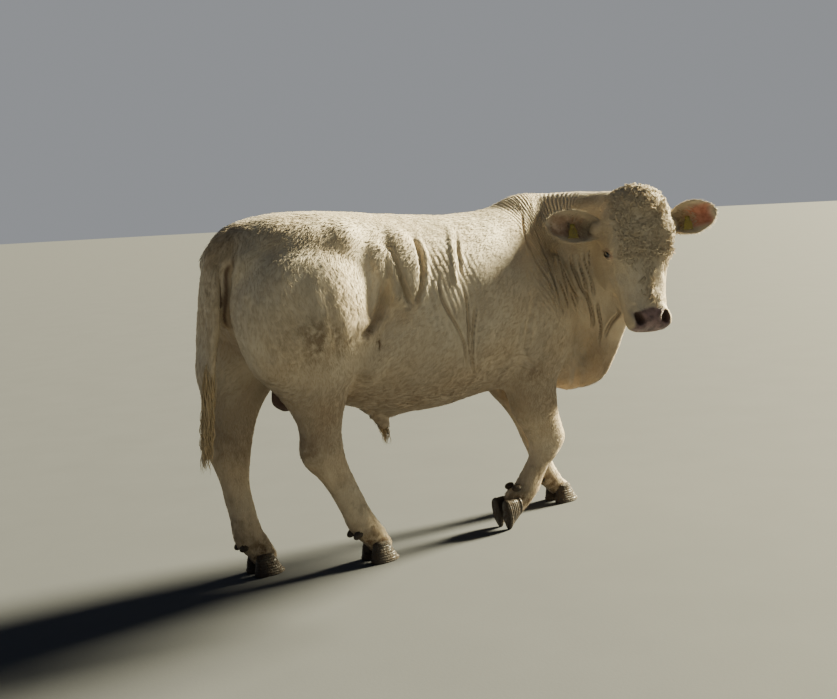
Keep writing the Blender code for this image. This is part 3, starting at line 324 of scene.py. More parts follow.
# Broad hollows and swellings, on both sides: depth (raised where negative), centre, radii
HOLLOWS = [
    (0.02, (-0.8, -0.085, 1.225), (0.075, 0.07, 0.08)),
    (0.036, (-0.29, -0.31, 1.02), (0.15, 0.13, 0.22)),
    (0.012, (-0.68, -0.33, 1.06), (0.11, 0.12, 0.22)),
    (-0.012, (-0.54, -0.32, 1.08), (0.12, 0.15, 0.22)),
    (0.012, (0.06, -0.33, 0.95), (0.08, 0.12, 0.26)),
    (-0.01, (0.33, -0.29, 1.06), (0.14, 0.12, 0.2)),
    (0.014, (0.21, -0.28, 0.72), (0.11, 0.12, 0.08)),
    (0.01, (-0.56, -0.15, 1.37), (0.12, 0.07, 0.06)),
    (0.01, (-0.66, -0.32, 0.82), (0.08, 0.1, 0.14)),
]


# Fine wrinkles: from one to the next on neck and flank, and how high they stand
NECK_WRINKLE = 0.0175
FLANK_WRINKLE = 0.026
WRINKLE_HEIGHT = 0.0017

PIECE_TUFTS = 19000
FEWEST_TUFTS = 50


def smooth_rows(rows, count, keys=3):
    """Read rows of numbers along a smooth curve through them, evenly by the first keys columns."""
    rows = np.array(rows, float)
    gaps = np.linalg.norm(np.diff(rows[:, :keys], axis=0), axis=1)
    at = np.concatenate(((0.0,), np.cumsum(gaps)))
    slopes = np.gradient(rows, at, axis=0)
    new = np.linspace(0.0, at[-1], count)
    i = np.clip(np.searchsorted(at, new, side="right") - 1, 0, len(at) - 2)
    span = (at[i + 1] - at[i])[:, None]
    u = (new - at[i])[:, None] / span
    start = (2 * u**3 - 3 * u**2 + 1) * rows[i] + (u**3 - 2 * u**2 + u) * span * slopes[i]
    end = (-2 * u**3 + 3 * u**2) * rows[i + 1] + (u**3 - u**2) * span * slopes[i + 1]
    return start + end


def ring_mesh(rings):
    """Close a list of rings of points into one body, each end with a fan."""
    sides = len(rings[0])
    points = [p for ring in rings for p in ring]
    faces = []
    for r in range(len(rings) - 1):
        for s in range(sides):
            t = (s + 1) % sides
            faces.append((r * sides + s, r * sides + t, (r + 1) * sides + t, (r + 1) * sides + s))
    for r, turn in ((0, -1), (len(rings) - 1, 1)):
        middle = len(points)
        points.append(np.mean(rings[r], axis=0))
        for s in range(sides):
            edge = (r * sides + s, r * sides + (s + 1) % sides)
            faces.append((middle, *edge[::turn]))
    return points, faces


def oval(sides, power_up=2.0, power_down=2.0):
    """Across and up values of a rounded ring, squarer as the powers grow."""
    angles = np.linspace(0.0, math.tau, sides, endpoint=False)
    across = np.cos(angles)
    up = np.sin(angles)
    power = np.where(up > 0, power_up, power_down)
    wide = np.sign(across) * np.abs(across) ** (2.0 / power)
    high = np.sign(up) * np.abs(up) ** (2.0 / power)
    return wide, high


def trunk_mesh():
    """The trunk as upright rings along x."""
    rings = []
    for x, top, bottom, half, widest, back, belly in smooth_rows(TRUNK, 60, 1):
        wide, high = oval(RING + 8, back, belly)
        level = widest + np.where(high > 0, high * (top - widest), high * (widest - bottom))
        rings.append(np.stack((np.full_like(wide, x), wide * half, level), -1))
    return ring_mesh(rings)


def path_mesh(stations, count, sides=RING, upright=True):
    """A bent form along a path of x, y, z, half height, half width."""
    rows = smooth_rows(stations, count)
    along = np.gradient(rows[:, :3], axis=0)
    along /= np.linalg.norm(along, axis=1)[:, None]
    rings = []
    for row, way in zip(rows, along):
        up = np.array((0.0, 0.0, 1.0)) if upright else np.array((1.0, 0.0, 0.0))
        across = np.cross(way, up)
        across /= np.linalg.norm(across)
        up = np.cross(across, way)
        wide, high = oval(sides)
        rings.append(row[:3] + np.outer(wide * row[4], across) + np.outer(high * row[3], up))
    return ring_mesh(rings)


def leg_mesh(stations):
    """A leg as level rings from its top to its pastern."""
    rings = []
    for z, front, back, y, half in smooth_rows(stations, 60, 2):
        wide, high = oval(RING, 2.3, 2.3)
        x = (front + back) / 2 + wide * (front - back) / 2
        rings.append(np.stack((x, y + high * half, np.full_like(x, z)), -1))
    return ring_mesh(rings)


def ball_mesh(centre, radii, slope=0.0, turn=None, rings=16, sides=24):
    """A closed ellipsoid, turned about Y by slope degrees or set in a frame."""
    turn = np.array(turn if turn is not None else Matrix.Rotation(math.radians(slope), 3, "Y"))
    rows = []
    for r in range(1, rings):
        polar = math.pi * r / rings
        around = np.linspace(0.0, math.tau, sides, endpoint=False)
        unit = np.stack((np.sin(polar) * np.cos(around), np.sin(polar) * np.sin(around),
                         np.full_like(around, math.cos(polar))), -1)
        rows.append((unit * np.array(radii)) @ turn.T + np.array(centre))
    points, faces = ring_mesh(rows)
    pole = turn @ np.array((0.0, 0.0, radii[2]))
    points[-2] = np.array(centre) + pole
    points[-1] = np.array(centre) - pole
    return points, faces


def head_axes():
    """Unit vectors down the face, to the bull's left, and out of the face."""
    down = Vector((math.cos(HEADING) * math.cos(FACE_SLOPE),
                   math.sin(HEADING) * math.cos(FACE_SLOPE), -math.sin(FACE_SLOPE)))
    left = Vector((-math.sin(HEADING), math.cos(HEADING), 0.0))
    out = Vector((math.cos(HEADING) * math.sin(FACE_SLOPE),
                  math.sin(HEADING) * math.sin(FACE_SLOPE), math.cos(FACE_SLOPE)))
    tipped = left * math.cos(HEAD_ROLL) + down * math.sin(HEAD_ROLL)
    down = down * math.cos(HEAD_ROLL) - left * math.sin(HEAD_ROLL)
    return down, tipped, out


DOWN, LEFT, OUT = head_axes()
HEAD_TURN = Matrix((DOWN, LEFT, OUT)).transposed()


def on_head(along, across, out_by):
    """The place of a point given along the face, to the left, and out of the face."""
    return HEAD_TOP + (DOWN * along + LEFT * across + OUT * out_by) * HEAD_SCALE


def head_values(points):
    """Along, across and out-of-face values of many points."""
    away = (points - np.array(HEAD_TOP)) / HEAD_SCALE
    return away @ np.array(DOWN), away @ np.array(LEFT), away @ np.array(OUT)


def head_mesh():
    """The head as rings across the line of the face."""
    down, left, out = (np.array(v) for v in (DOWN, LEFT, OUT))
    rings = []
    for along, half, face, jaw in smooth_rows(HEAD, 60, 1):
        wide, high = oval(RING, 2.6, 2.1)
        level = face * 0.1 + jaw * 0.1
        depth = np.where(high > 0, high * (face - level), high * (level - jaw)) + level
        bridge = 0.52 * math.exp(-((along - 0.42) / 0.085) ** 2)
        throat = 0.12 if along < 0.36 else min(0.30, 0.12 + (along - 0.36) * 2.0)
        narrow = np.where(high < 0, 1.0 + throat * high, 1.0 - bridge * np.abs(high) ** 1.5)
        centre = np.array(HEAD_TOP) + down * along * HEAD_SCALE
        rings.append(centre + HEAD_SCALE * (np.outer(wide * narrow * half, left) + np.outer(depth, out)))
    return ring_mesh(rings)


def head_masses():
    """Cheeks, orbits, poll and muzzle, which round the head out."""
    paired = [((0.163, 0.138, -0.034), (0.046, 0.05, 0.042)), ((0.29, 0.092, -0.105), (0.125, 0.05, 0.1)),
              ((0.252, 0.104, 0.01), (0.056, 0.034, 0.042)), ((0.545, 0.05, 0.03), (0.045, 0.044, 0.036))]
    single = [((0.085, 0.0, 0.0), (0.085, 0.118, 0.092)), ((0.540, 0.0, -0.056), (0.046, 0.058, 0.034))]
    rows = [((s, side * across, out), radii) for side in (-1, 1) for (s, across, out), radii in paired]
    return [ball_mesh(on_head(*place), radii, turn=HEAD_TURN) for place, radii in rows + single]


def join_meshes(meshes):
    """One list of points and faces from several closed meshes."""
    points, faces = [], []
    for mesh_points, mesh_faces in meshes:
        start = len(points)
        points.extend(mesh_points)
        faces.extend(tuple(i + start for i in face) for face in mesh_faces)
    return points, faces


def ear_axes(side):
    """The root of an ear, and unit vectors to its tip, out of its cup, and up across it."""
    way = (LEFT * side + Vector((0, 0, 0.17))).normalized()
    face = (OUT - way * OUT.dot(way)).normalized()
    across = way.cross(face) * side
    return on_head(EAR_ROOT[0], side * EAR_ROOT[1], EAR_ROOT[2]), way, face, across


def ear_mesh(side):
    """A cupped leaf with a stem, open toward the face, its rims rounded."""
    root, way, face, across = ear_axes(side)
    rings = []
    for along, half, cup in smooth_rows(EAR, 44, 1):
        half *= EAR_WIDTH
        thick = 0.0045 + 0.030 * max(0.0, 0.32 - along)
        outer, inner = [], []
        for v in np.linspace(-1.0, 1.0, 21):
            bend = cup * EAR_WIDTH * (v * v - 0.6) * 0.9
            conch = 0.012 * math.exp(-((along - 0.30) / 0.20) ** 2) * max(0.0, 1 - (v / 0.6) ** 2)
            centre = root + way * along * EAR_LENGTH + across * v * half + face * (bend - conch)
            edge = 1.0 - 0.70 * v * v
            outer.append(np.array(centre - face * thick * edge))
            inner.append(np.array(centre + face * thick * edge))
        rings.append(outer + inner[::-1])
    return ring_mesh(rings)


def noise(points, size, seed):
    """Smooth random values, about -1 to 1, that change over a length."""
    cells = 24
    grid = np.random.default_rng(seed).uniform(-1.0, 1.0, (cells, cells, cells))
    at = points / size
    cell = np.floor(at).astype(int)
    part = at - cell
    part = part * part * (3.0 - 2.0 * part)
    total = np.zeros(len(points))
    for i in (0, 1):
        for j in (0, 1):
            for k in (0, 1):
                share = (part[:, 0] if i else 1 - part[:, 0]) * (part[:, 1] if j else 1 - part[:, 1])
                share = share * (part[:, 2] if k else 1 - part[:, 2])
                corner = (cell + (i, j, k)) % cells
                total += share * grid[corner[:, 0], corner[:, 1], corner[:, 2]]
    return total


def ramp(values, start, end):
    """0 at start, 1 at end, smooth between."""
    t = np.clip((values - start) / (end - start), 0.0, 1.0)
    return t * t * (3.0 - 2.0 * t)


def blob(points, centre, radii, core=0.5):
    """1 inside the core of an ellipsoid, falling to 0 at its surface."""
    away = np.linalg.norm((points - np.array(centre)) / np.array(radii), axis=1)
    return ramp(away, 1.0, core)


def unit(vectors):
    """Vectors at length 1."""
    return vectors / np.maximum(np.linalg.norm(vectors, axis=1), 1e-9)[:, None]


def far_from(points, place):
    """How far each point lies from a place."""
    return np.linalg.norm(points - np.array(place), axis=1)


def from_head(points):
    """How far each point lies from the middle of the head."""
    return far_from(points, on_head(0.30, 0.0, -0.05))


def on_right(points):
    """The points, with those on the bull's left mirrored to its right."""
    return np.where(points[:, 1:2] > 0, points * (1, -1, 1), points)


def fold_lines():
    """The line, width, depth and painted shade of every fold, on both sides where it has both."""
    for width, depth, dark, both, line in FOLDS:
        for flip in (1, -1)[:1 + both]:
            yield np.array(line) * (1, flip, 1), width, depth, dark


# Meshes and objects

def mesh_object(name, points, faces):
    """A linked object from points and faces in the bull's own frame, faces turned outward."""
    mesh = bpy.data.meshes.new(name)
    mesh.from_pydata([tuple(map(float, p)) for p in points], [], faces)
    form = bmesh.new()
    form.from_mesh(mesh)
    bmesh.ops.recalc_face_normals(form, faces=form.faces)
    form.to_mesh(mesh)
    form.free()
    item = bpy.data.objects.new(name, mesh)
    bpy.context.collection.objects.link(item)
    return item


def bake(item):
    """Give an object its evaluated mesh in place of its modifiers."""
    graph = bpy.context.evaluated_depsgraph_get()
    mesh = bpy.data.meshes.new_from_object(item.evaluated_get(graph))
    item.modifiers.clear()
    old = item.data
    item.data = mesh
    bpy.data.meshes.remove(old)


def discard(item):
    """Remove an object and its mesh."""
    mesh = item.data
    bpy.data.objects.remove(item, do_unlink=True)
    bpy.data.meshes.remove(mesh)


def read_points(mesh):
    """The places of a mesh's vertices."""
    values = np.empty(len(mesh.vertices) * 3, np.float32)
    mesh.vertices.foreach_get("co", values)
    return values.reshape(-1, 3).astype(float)


def read_normals(mesh):
    """The normals of a mesh's vertices."""
    values = np.empty(len(mesh.vertices) * 3, np.float32)
    mesh.vertex_normals.foreach_get("vector", values)
    return values.reshape(-1, 3).astype(float)


def write_points(mesh, points):
    """Move a mesh's vertices."""
    mesh.vertices.foreach_set("co", points.astype(np.float32).ravel())
    mesh.update()


def finish_piece(item, material, nodes=()):
    """Move a piece into the frame of the solids, give it its material, hang it under the root, and hide the
    parts that it takes the place of.
    """
    item.data.transform(Matrix.Translation(Vector(-ORIGIN)))
    item.data.update()
    if material is not None:
        item.data.materials.clear()
        item.data.materials.append(material)
    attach(item, "root")
    if nodes:
        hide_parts(*nodes)
    return item


# The skin

def body_form(voxel):
    """The flesh of the whole bull as one closed, blended surface."""
    meshes = [trunk_mesh(), path_mesh(NECK, 40), path_mesh(DEWLAP, 30), head_mesh()]
    meshes += [leg_mesh(stations) for stations in LEGS.values()]
    meshes += [ball_mesh(*mass) for mass in MASSES]
    meshes += head_masses()
    body = mesh_object("skin", *join_meshes(meshes))
    remesh = body.modifiers.new("union", "REMESH")
    remesh.mode = "VOXEL"
    remesh.voxel_size = voxel
    bake(body)
    points = read_points(body.data)
    near_head = np.clip(1.0 - far_from(points, on_head(0.30, 0.0, 0.0)) / 0.42, 0, 1)
    near_foot = np.clip(1.0 - points[:, 2] / 0.55, 0, 1)
    care = np.minimum(1.0, 2.0 * np.maximum(near_head, near_foot))
    broad = body.vertex_groups.new(name="broad")
    for index, weight in enumerate(1.0 - 0.8 * care):
        broad.add((index,), weight, "REPLACE")
    smooth = body.modifiers.new("smooth", "SMOOTH")
    smooth.factor = 0.5
    smooth.iterations = 40
    smooth.vertex_group = "broad"
    finer = body.modifiers.new("finer", "SUBSURF")
    finer.levels = 1
    finer.render_levels = 1
    bake(body)
    body.vertex_groups.clear()
    return body


def fold_values(points, line, width, normals=None):
    """Which points are near a line, their widths off it, the line's fading, and its way there.

    Where normals are given, the widths are measured along the skin.
    """
    line = np.array(line, float)
    line = smooth_rows(line, 4 * len(line))
    near = np.all((points > line.min(0) - 4 * width) & (points < line.max(0) + 4 * width), axis=1)
    index = np.nonzero(near)[0]
    some = points[index]
    best = np.full(len(some), 1e9)
    gap = np.zeros((len(some), 3))
    place = np.zeros(len(some))
    ways = np.zeros((len(some), 3))
    for n, (a, b) in enumerate(zip(line[:-1], line[1:])):
        step = b - a
        t = np.clip((some - a) @ step / (step @ step), 0.0, 1.0)
        away = some - a - t[:, None] * step
        reach = (away * away).sum(1)
        closer = reach < best
        best[closer] = reach[closer]
        gap[closer] = away[closer]
        ways[closer] = step / np.linalg.norm(step)
        place[closer] = (n + t[closer]) / (len(line) - 1)
    if normals is not None:
        gap -= normals[index] * (gap * normals[index]).sum(1)[:, None]
    fade = ramp(place, 0.0, 0.22) * ramp(place, 1.0, 0.78)
    return index, np.linalg.norm(gap, axis=1) / width, fade, ways


def carve(points, shift, line, width, depth):
    """Add to shift a fold along a line: a groove with swollen edges, or a ridge."""
    index, away, fade = fold_values(points, line, width)[:3]
    edge = 0.35 * np.exp(-((away - 2.1) / 1.2) ** 2) if depth > 0 else 0.0
    shift[index] += depth * fade * (edge - np.exp(-away ** 2))


def creases(points, normals):
    """How deep in a fold each point lies, weighted by the painted shade of the fold."""
    total = np.zeros(len(points))
    for line, width, _, dark in fold_lines():
        if dark:
            index, away, fade = fold_values(points, line, width, normals)[:3]
            total[index] = np.maximum(total[index], dark * fade * np.exp(-(away * 1.55) ** 2))
    return total


def wrinkles(points):
    """Phase and strength of the fine upright wrinkles of neck and flank."""
    away = from_head(points)
    path = smooth_rows(NECK, 60)[:, :3]
    place = path_chart(points, path)[1]
    warp = 0.010 * noise(points, 0.13, 4) + 0.0035 * noise(points, 0.045, 5)
    neck_phase = (place + 0.30 * (points[:, 2] - 1.2) + warp) * math.tau / NECK_WRINKLE
    flank_phase = (points[:, 0] + 0.25 * (points[:, 2] - 1.0) + 1.3 * warp) * math.tau / FLANK_WRINKLE
    neck = ramp(points[:, 0], 0.40, 0.52) * ramp(points[:, 2], 0.84, 1.00) * ramp(away, 0.30, 0.36)
    flank = 0.45 * blob(np.abs(points * (0, 1, 0)) * (0, -1, 0) + points * (1, 0, 1),
                        (-0.02, -0.30, 1.06), (0.20, 0.20, 0.24), 0.4)
    phase = np.where(points[:, 0] > 0.32, neck_phase, flank_phase)
    strength = np.maximum(neck * (0.75 + 0.35 * noise(points, 0.10, 6)), flank)
    return phase, np.clip(strength, 0.0, 1.0)


def eye_frame(side):
    """The long, high and looking directions of an eye."""
    look = (LEFT * side * 0.88 + OUT * 0.47).normalized()
    long = OUT + DOWN * 0.60
    long = (long - look * long.dot(look)).normalized()
    high = look.cross(long)
    return long, high, look


def eye_spot(side):
    """Where the middle of an eye shows on the face."""
    return on_head(EYE_AT[0], side * EYE_AT[1], EYE_AT[2])


def from_eyes(points):
    """How far each point lies from the nearer eye."""
    return np.min([far_from(points, eye_spot(side)) for side in (-1, 1)], axis=0)


def eye_centres(item, settings):
    """Where the eyeballs sit, found from the surface of the face."""
    tree = BVHTree.FromObject(item, bpy.context.evaluated_depsgraph_get())
    found = {}
    for side in (-1, 1):
        look = eye_frame(side)[2]
        point = tree.ray_cast(eye_spot(side) + look * 0.1, -look)[0]
        found[side] = point - look * (settings.eye_radius - settings.eye_proud)
    return found


def nostril(points, sign):
    """How far each point lies from a nostril, in its slanted half widths, and whether it faces forward."""
    along = (DOWN + LEFT * sign * -0.35).normalized()
    across = OUT.cross(along)
    away = points - np.array(on_head(NOSTRIL_AT[0], sign * NOSTRIL_AT[1], NOSTRIL_AT[2]))
    a = away @ np.array(along) / 0.031
    b = away @ np.array(across) / 0.0195 * (1 + 0.35 * np.clip(-a, -1, 1))
    front = ramp(np.abs(away @ np.array(OUT)), 0.05, 0.03)
    return np.sqrt(a * a + b * b) + 3.0 * (1 - front), front


def sculpt(item, eyes, settings):
    """Move the skin's vertices: coat depth, folds, muzzle, mouth, nostrils and eye openings."""
    points = read_points(item.data)
    normals = read_normals(item.data)
    s, side, out = head_values(points)
    on_the_head = ramp(from_head(points), 0.40, 0.30)
    shift = np.zeros(len(points))
    for line, width, depth, _ in fold_lines():
        carve(points, shift, line, width, depth)
    facing = np.stack((s, side, out), -1)
    for flip in (1, -1):
        for depth, centre, radii in HOLLOWS:
            shift -= depth * blob(points, np.array(centre) * (1, flip, 1), radii, 0.0)
        for depth, centre, radii in HEAD_FORMS:
            share = 0.5 if centre[1] == 0 else 1.0
            shift -= share * depth * blob(facing, np.array(centre) * (1, flip, 1), radii, 0.0)
    phase, strength = wrinkles(points)
    shift += WRINKLE_HEIGHT * strength * np.sin(phase)
    shift *= settings.fold_depth
    shift = np.where(shift > 0.0, 0.009 * np.tanh(shift / 0.009), shift)
    # soft unevenness of muscle, fat and coat
    shift += 0.0020 * noise(points, 0.09, 1) * (1 - 0.7 * on_the_head)
    shift += 0.0008 * noise(points, 0.03, 2)
    shift -= settings.coat_depth * (1.0 - 0.6 * ramp(s, 0.42, 0.50) * on_the_head)
    points = points + normals * shift[:, None]
    for sign in (-1, 1):
        r, front = nostril(points, sign)
        inward = 0.026 * ramp(r, 1.05, 0.35) * front
        rim = 0.0035 * np.exp(-((r - 1.45) / 0.35) ** 2) * front
        points = points + np.outer(rim - inward, np.array(OUT))
    # the line of the mouth and the swell of the lips
    back = (DOWN * MOUTH_RUN[0] + OUT * MOUTH_RUN[1]).normalized()
    up = np.array(back.cross(LEFT))
    away = points - np.array(on_head(MOUTH_AT[0], 0.0, MOUTH_AT[1]))
    off = away @ up
    reach = away @ np.array(back)
    muzzle = ramp(reach, 0.135, 0.105) * ramp(np.abs(away @ np.array(LEFT)), 0.13, 0.11)
    groove = 0.0075 * np.exp(-(off / 0.0035) ** 2) - 0.0035 * np.exp(-((np.abs(off) - 0.011) / 0.006) ** 2)
    points = points - normals * (groove * muzzle * ramp(np.abs(off), 0.05, 0.03))[:, None]
    # eye openings
    for sign in (-1, 1):
        long, high, look = (np.array(v) for v in eye_frame(sign))
        away = points - np.array(eyes[sign])
        reach = np.linalg.norm(away, axis=1)
        ahead = away @ look
        a = away @ long / (settings.opening_length * 1.12)
        b = away @ high / (settings.opening_height * 1.25)
        inside = (a * a + b * b < 1.0) & (ahead > 0.0) & (reach < 0.06)
        cover = settings.eye_radius + 0.0035
        near = (reach < cover) & (ahead > 0.0) & ~inside
        radius = np.where(inside, settings.eye_radius - 0.004, np.where(near, cover, reach))
        points = np.array(eyes[sign]) + away * (radius / np.maximum(reach, 1e-6))[:, None]
    write_points(item.data, points)


def make_skin(settings):
    """One skin over the whole bull, ears, tail, sheath and scrotum included."""
    body = body_form(settings.form_voxel)
    eyes = eye_centres(body, settings)
    extra = join_meshes([path_mesh(TAIL, 80, 24, False), path_mesh(SHEATH, 20, 24, False),
                         path_mesh(SCROTUM, 30, 24, False)])
    parts = mesh_object("parts", *extra)
    with bpy.context.temp_override(active_object=body, selected_editable_objects=[body, parts]):
        bpy.ops.object.join()
    remesh = body.modifiers.new("union", "REMESH")
    remesh.mode = "VOXEL"
    remesh.voxel_size = settings.skin_voxel
    smooth = body.modifiers.new("smooth", "SMOOTH")
    smooth.factor = 0.5
    smooth.iterations = 4
    bake(body)
    sculpt(body, eyes, settings)
    for side in (-1, 1):
        ear = mesh_object("ear", *ear_mesh(side))
        step = body.modifiers.new("ear", "BOOLEAN")
        step.operation = "UNION"
        step.object = ear
        step.solver = "MANIFOLD"
        bake(body)
        discard(ear)
    thin = body.modifiers.new("thin", "DECIMATE")
    thin.use_collapse_triangulate = True
    triangles = sum(len(p.vertices) - 2 for p in body.data.polygons)
    thin.ratio = min(1.0, settings.triangles / triangles)
    kept = body.vertex_groups.new(name="folds")
    points = read_points(body.data)
    fine = (creases(points, read_normals(body.data)) > 0.03) | (from_eyes(points) < 0.045)
    for index in np.nonzero(fine)[0].tolist():
        kept.add((index,), 1.0, "REPLACE")
    thin.vertex_group = kept.name
    thin.invert_vertex_group = True
    bake(body)
    body.vertex_groups.clear()
    return body, eyes


# Markings and materials

def markings(points, normals):
    """How much dirt (with painted shade in the ear cups), bare pink skin (with a painted glow on the left
    ear), grey muzzle and dark skin (with painted shade on the scrotum and in the nostrils) shows at each
    point, how warm it is, and how much painted shade and darker skin lies in folds and under thin hair.
    """
    s, side, out = head_values(points)
    near = ramp(from_head(points), 0.42, 0.36)
    patch = noise(points, 0.045, 21) + 0.6 * noise(points, 0.018, 22)
    dirt_and_ear_shade = 0.75 * blob(points, (-0.625, -0.310, 0.925), (0.240, 0.14, 0.170), 0.2) * ramp(patch, -1.5, 0.9)
    dirt_and_ear_shade += 1.1 * blob(points, (-0.330, -0.280, 0.910), (0.085, 0.09, 0.130), 0.2) * ramp(patch, -0.4, 0.4)
    dirt_and_ear_shade += 0.6 * blob(points, (0.435, -0.255, 0.665), (0.090, 0.10, 0.080), 0.1) * ramp(patch, -0.5, 0.6)
    legs = ramp(points[:, 2], 0.62, 0.10) * ramp(points[:, 2], 0.72, 0.50)
    dirt_and_ear_shade += 0.55 * legs * ramp(patch, -0.7, 0.9) + 0.75 * ramp(points[:, 2], 0.20, 0.06)
    for x, y in ((-0.560, -0.108), (-0.800, 0.106)):
        dirt_and_ear_shade += 0.5 * blob(points, (x, y, 0.51), (0.12, 0.12, 0.13), 0.2) * ramp(patch, -0.6, 0.4)
    tail = ramp(points[:, 0], -0.862, -0.878)
    dirt_and_ear_shade += 0.20 * tail * ramp(patch, -0.4, 0.7)
    # darker in patches where the skin faces down under the belly
    belly = ramp(normals[:, 2], -0.25, -0.85) * ramp(points[:, 2], 0.95, 0.7)
    dirt_and_ear_shade += 0.30 * belly * ramp(patch, -0.8, 0.8)
    # bare pink skin round the eyes and inside the ears, with a painted glow of light through the outer part
    # of the left ear, and painted shade deep in the ear cups
    pink, ears = 0.0, np.zeros(len(points))
    for sign in (-1, 1):
        pink += 0.22 * blob(points, on_head(0.268, sign * 0.130, 0.0), (0.040, 0.040, 0.034), 0.35)
        along, wide, front = ear_values(points, sign)
        toward = normals @ np.array(ear_axes(sign)[2])
        cup = ramp(toward, 0.0, 0.35) * ramp(np.abs(front), 0.07, 0.05) * ramp(np.abs(wide), 0.80, 0.45)
        # pink skin, and over the outer part of the left ear a painted glow of light through it
        pink_skin_and_glow = ramp(along, 0.40, 0.62) if sign > 0 else 0.24
        cup *= ramp(along, 0.30, 0.42) * ramp(along, 0.97, 0.84)
        pink += cup * pink_skin_and_glow
        # painted shade deep in the ear cups, which joins the dirt
        ears = np.maximum(ears, 0.85 * cup * (1 - pink_skin_and_glow))
    dirt_and_ear_shade = np.maximum(dirt_and_ear_shade * (1.0 - near), ears)
    # the bare muzzle between and below the nostrils, and the lips
    pad = ramp(s - 0.25 * np.abs(side), 0.488, 0.500) * ramp(out, -0.012, 0.012) * near
    sides = ramp(np.abs(side), 0.082, 0.070)
    lips = ramp(s, 0.560, 0.580) * ramp(out, -0.085, -0.060) * near * 0.5
    muzzle = np.clip(pad * sides + lips, 0, 1)
    # dark skin of the scrotum, with painted shade on it between the thighs, and painted shade inside the
    # nostrils
    dark = blob(points, (-0.596, 0.0, 0.715), (0.085, 0.085, 0.115), 0.75)
    dark = np.maximum(dark, np.maximum(*(ramp(nostril(points, sign)[0], 1.0, 0.72) for sign in (-1, 1))))
    # warmth: random, more on the tail and over the tail head, more low down and where the skin faces down,
    # less where it faces up
    warm = 0.35 + 0.30 * noise(points, 0.16, 23) + 0.35 * ramp(normals[:, 2], 0.3, -0.6)
    warm += 0.25 * tail + 0.35 * ramp(points[:, 2], 0.75, 0.35)
    warm += 0.8 * blob(points, (-0.82, -0.03, 1.28), (0.16, 0.16, 0.14), 0.3)
    warm -= 0.20 * ramp(normals[:, 2], 0.3, 0.8)
    # darker skin under thin hair, partly real and partly painted shade, under the belly, on the brisket and
    # between the thighs; painted shade in the cleft beside the tail and on the temples
    thin = 0.55 * ramp(points[:, 2], 0.94, 0.62) * ramp(points[:, 2], 0.38, 0.54)
    for share, centre, radii in ((0.40, (0.70, -0.08, 0.75), (0.24, 0.34, 0.32)),
                                 (0.45, (-0.81, 0.02, 0.96), (0.15, 0.11, 0.34)),
                                 (0.90, (-0.822, -0.120, 1.215), (0.03, 0.035, 0.05))):
        thin = np.maximum(thin, share * blob(points, centre, radii, 0.4))
    thin *= (1 - near) * (1 - tail)
    for sign in (-1, 1):
        temple = on_head(0.205, sign * 0.120, -0.01)
        thin = np.maximum(thin, 0.16 * blob(points, temple, (0.07, 0.06, 0.07), 0.3))
    # painted shade of the folds, with the darker skin and painted shade under thin hair
    deep = np.maximum(creases(points, normals), thin)
    marks = np.clip(np.stack((dirt_and_ear_shade, pink, muzzle, dark), -1), 0.0, 1.0)
    phase, strength = wrinkles(points)
    more = np.stack((np.clip(warm, 0.0, 1.0), np.clip(deep, 0.0, 1.0), phase, strength), -1)
    return marks, more


def set_value(mesh, key, values):
    """Store one number a vertex."""
    mesh.attributes.new(key, "FLOAT", "POINT").data.foreach_set("value", values.astype(np.float32).ravel())


def set_marks(mesh, marks, more):
    """Store the markings on a mesh, one set a vertex."""
    layer = mesh.attributes.new("marks", "FLOAT_COLOR", "POINT")
    layer.data.foreach_set("color", marks.astype(np.float32).ravel())
    for key, values in zip(("warmth", "painted_shade_and_skin", "wrinkle", "wrinkled"), more.T):
        set_value(mesh, key, values.copy())


def add_node(tree, kind, inputs=None, **settings):
    """A node with its settings, each input linked to a socket or set to a value."""
    made = tree.nodes.new(kind)
    for key, value in settings.items():
        setattr(made, key, value)
    for key, value in (inputs or {}).items():
        if isinstance(value, bpy.types.NodeSocket):
            tree.links.new(value, made.inputs[key])
        else:
            made.inputs[key].default_value = value
    return made


def mixed(tree, share, a, b, mode="MIX"):
    """Two colours mixed by a share."""
    made = add_node(tree, "ShaderNodeMix", {0: share, 6: a, 7: b}, data_type="RGBA", blend_type=mode)
    return made.outputs[2]


def maths(tree, operation, a, b=0.0, clamp=False):
    """One step of arithmetic."""
    made = add_node(tree, "ShaderNodeMath", {0: a, 1: b}, operation=operation, use_clamp=clamp)
    return made.outputs[0]


def times(tree, a, b, clamp=False):
    """Two values multiplied."""
    return maths(tree, "MULTIPLY", a, b, clamp)


def object_place(tree):
    """The place of the point that is shaded, in the piece's own frame."""
    return add_node(tree, "ShaderNodeTexCoord").outputs["Object"]


def stored(tree, key):
    """A number that is stored on the mesh."""
    return add_node(tree, "ShaderNodeAttribute", attribute_name=key).outputs["Fac"]


def mapped(tree, value, low, high, to_low=0.0, to_high=1.0):
    """A value spread smoothly from one range to another."""
    made = add_node(tree, "ShaderNodeMapRange", {"Value": value, "From Min": low, "From Max": high,
                                                 "To Min": to_low, "To Max": to_high},
                    interpolation_type="SMOOTHSTEP")
    return made.outputs["Result"]


def speckle(tree, place, scale, detail=3.0, roughness=0.55):
    """Noise over a place, with features about 1 / scale metres across."""
    made = add_node(tree, "ShaderNodeTexNoise", {"Vector": place, "Scale": scale, "Detail": detail,
                                                 "Roughness": roughness})
    return made.outputs["Fac"]


def rgba(colour):
    """A colour with full cover."""
    return (*colour, 1.0)


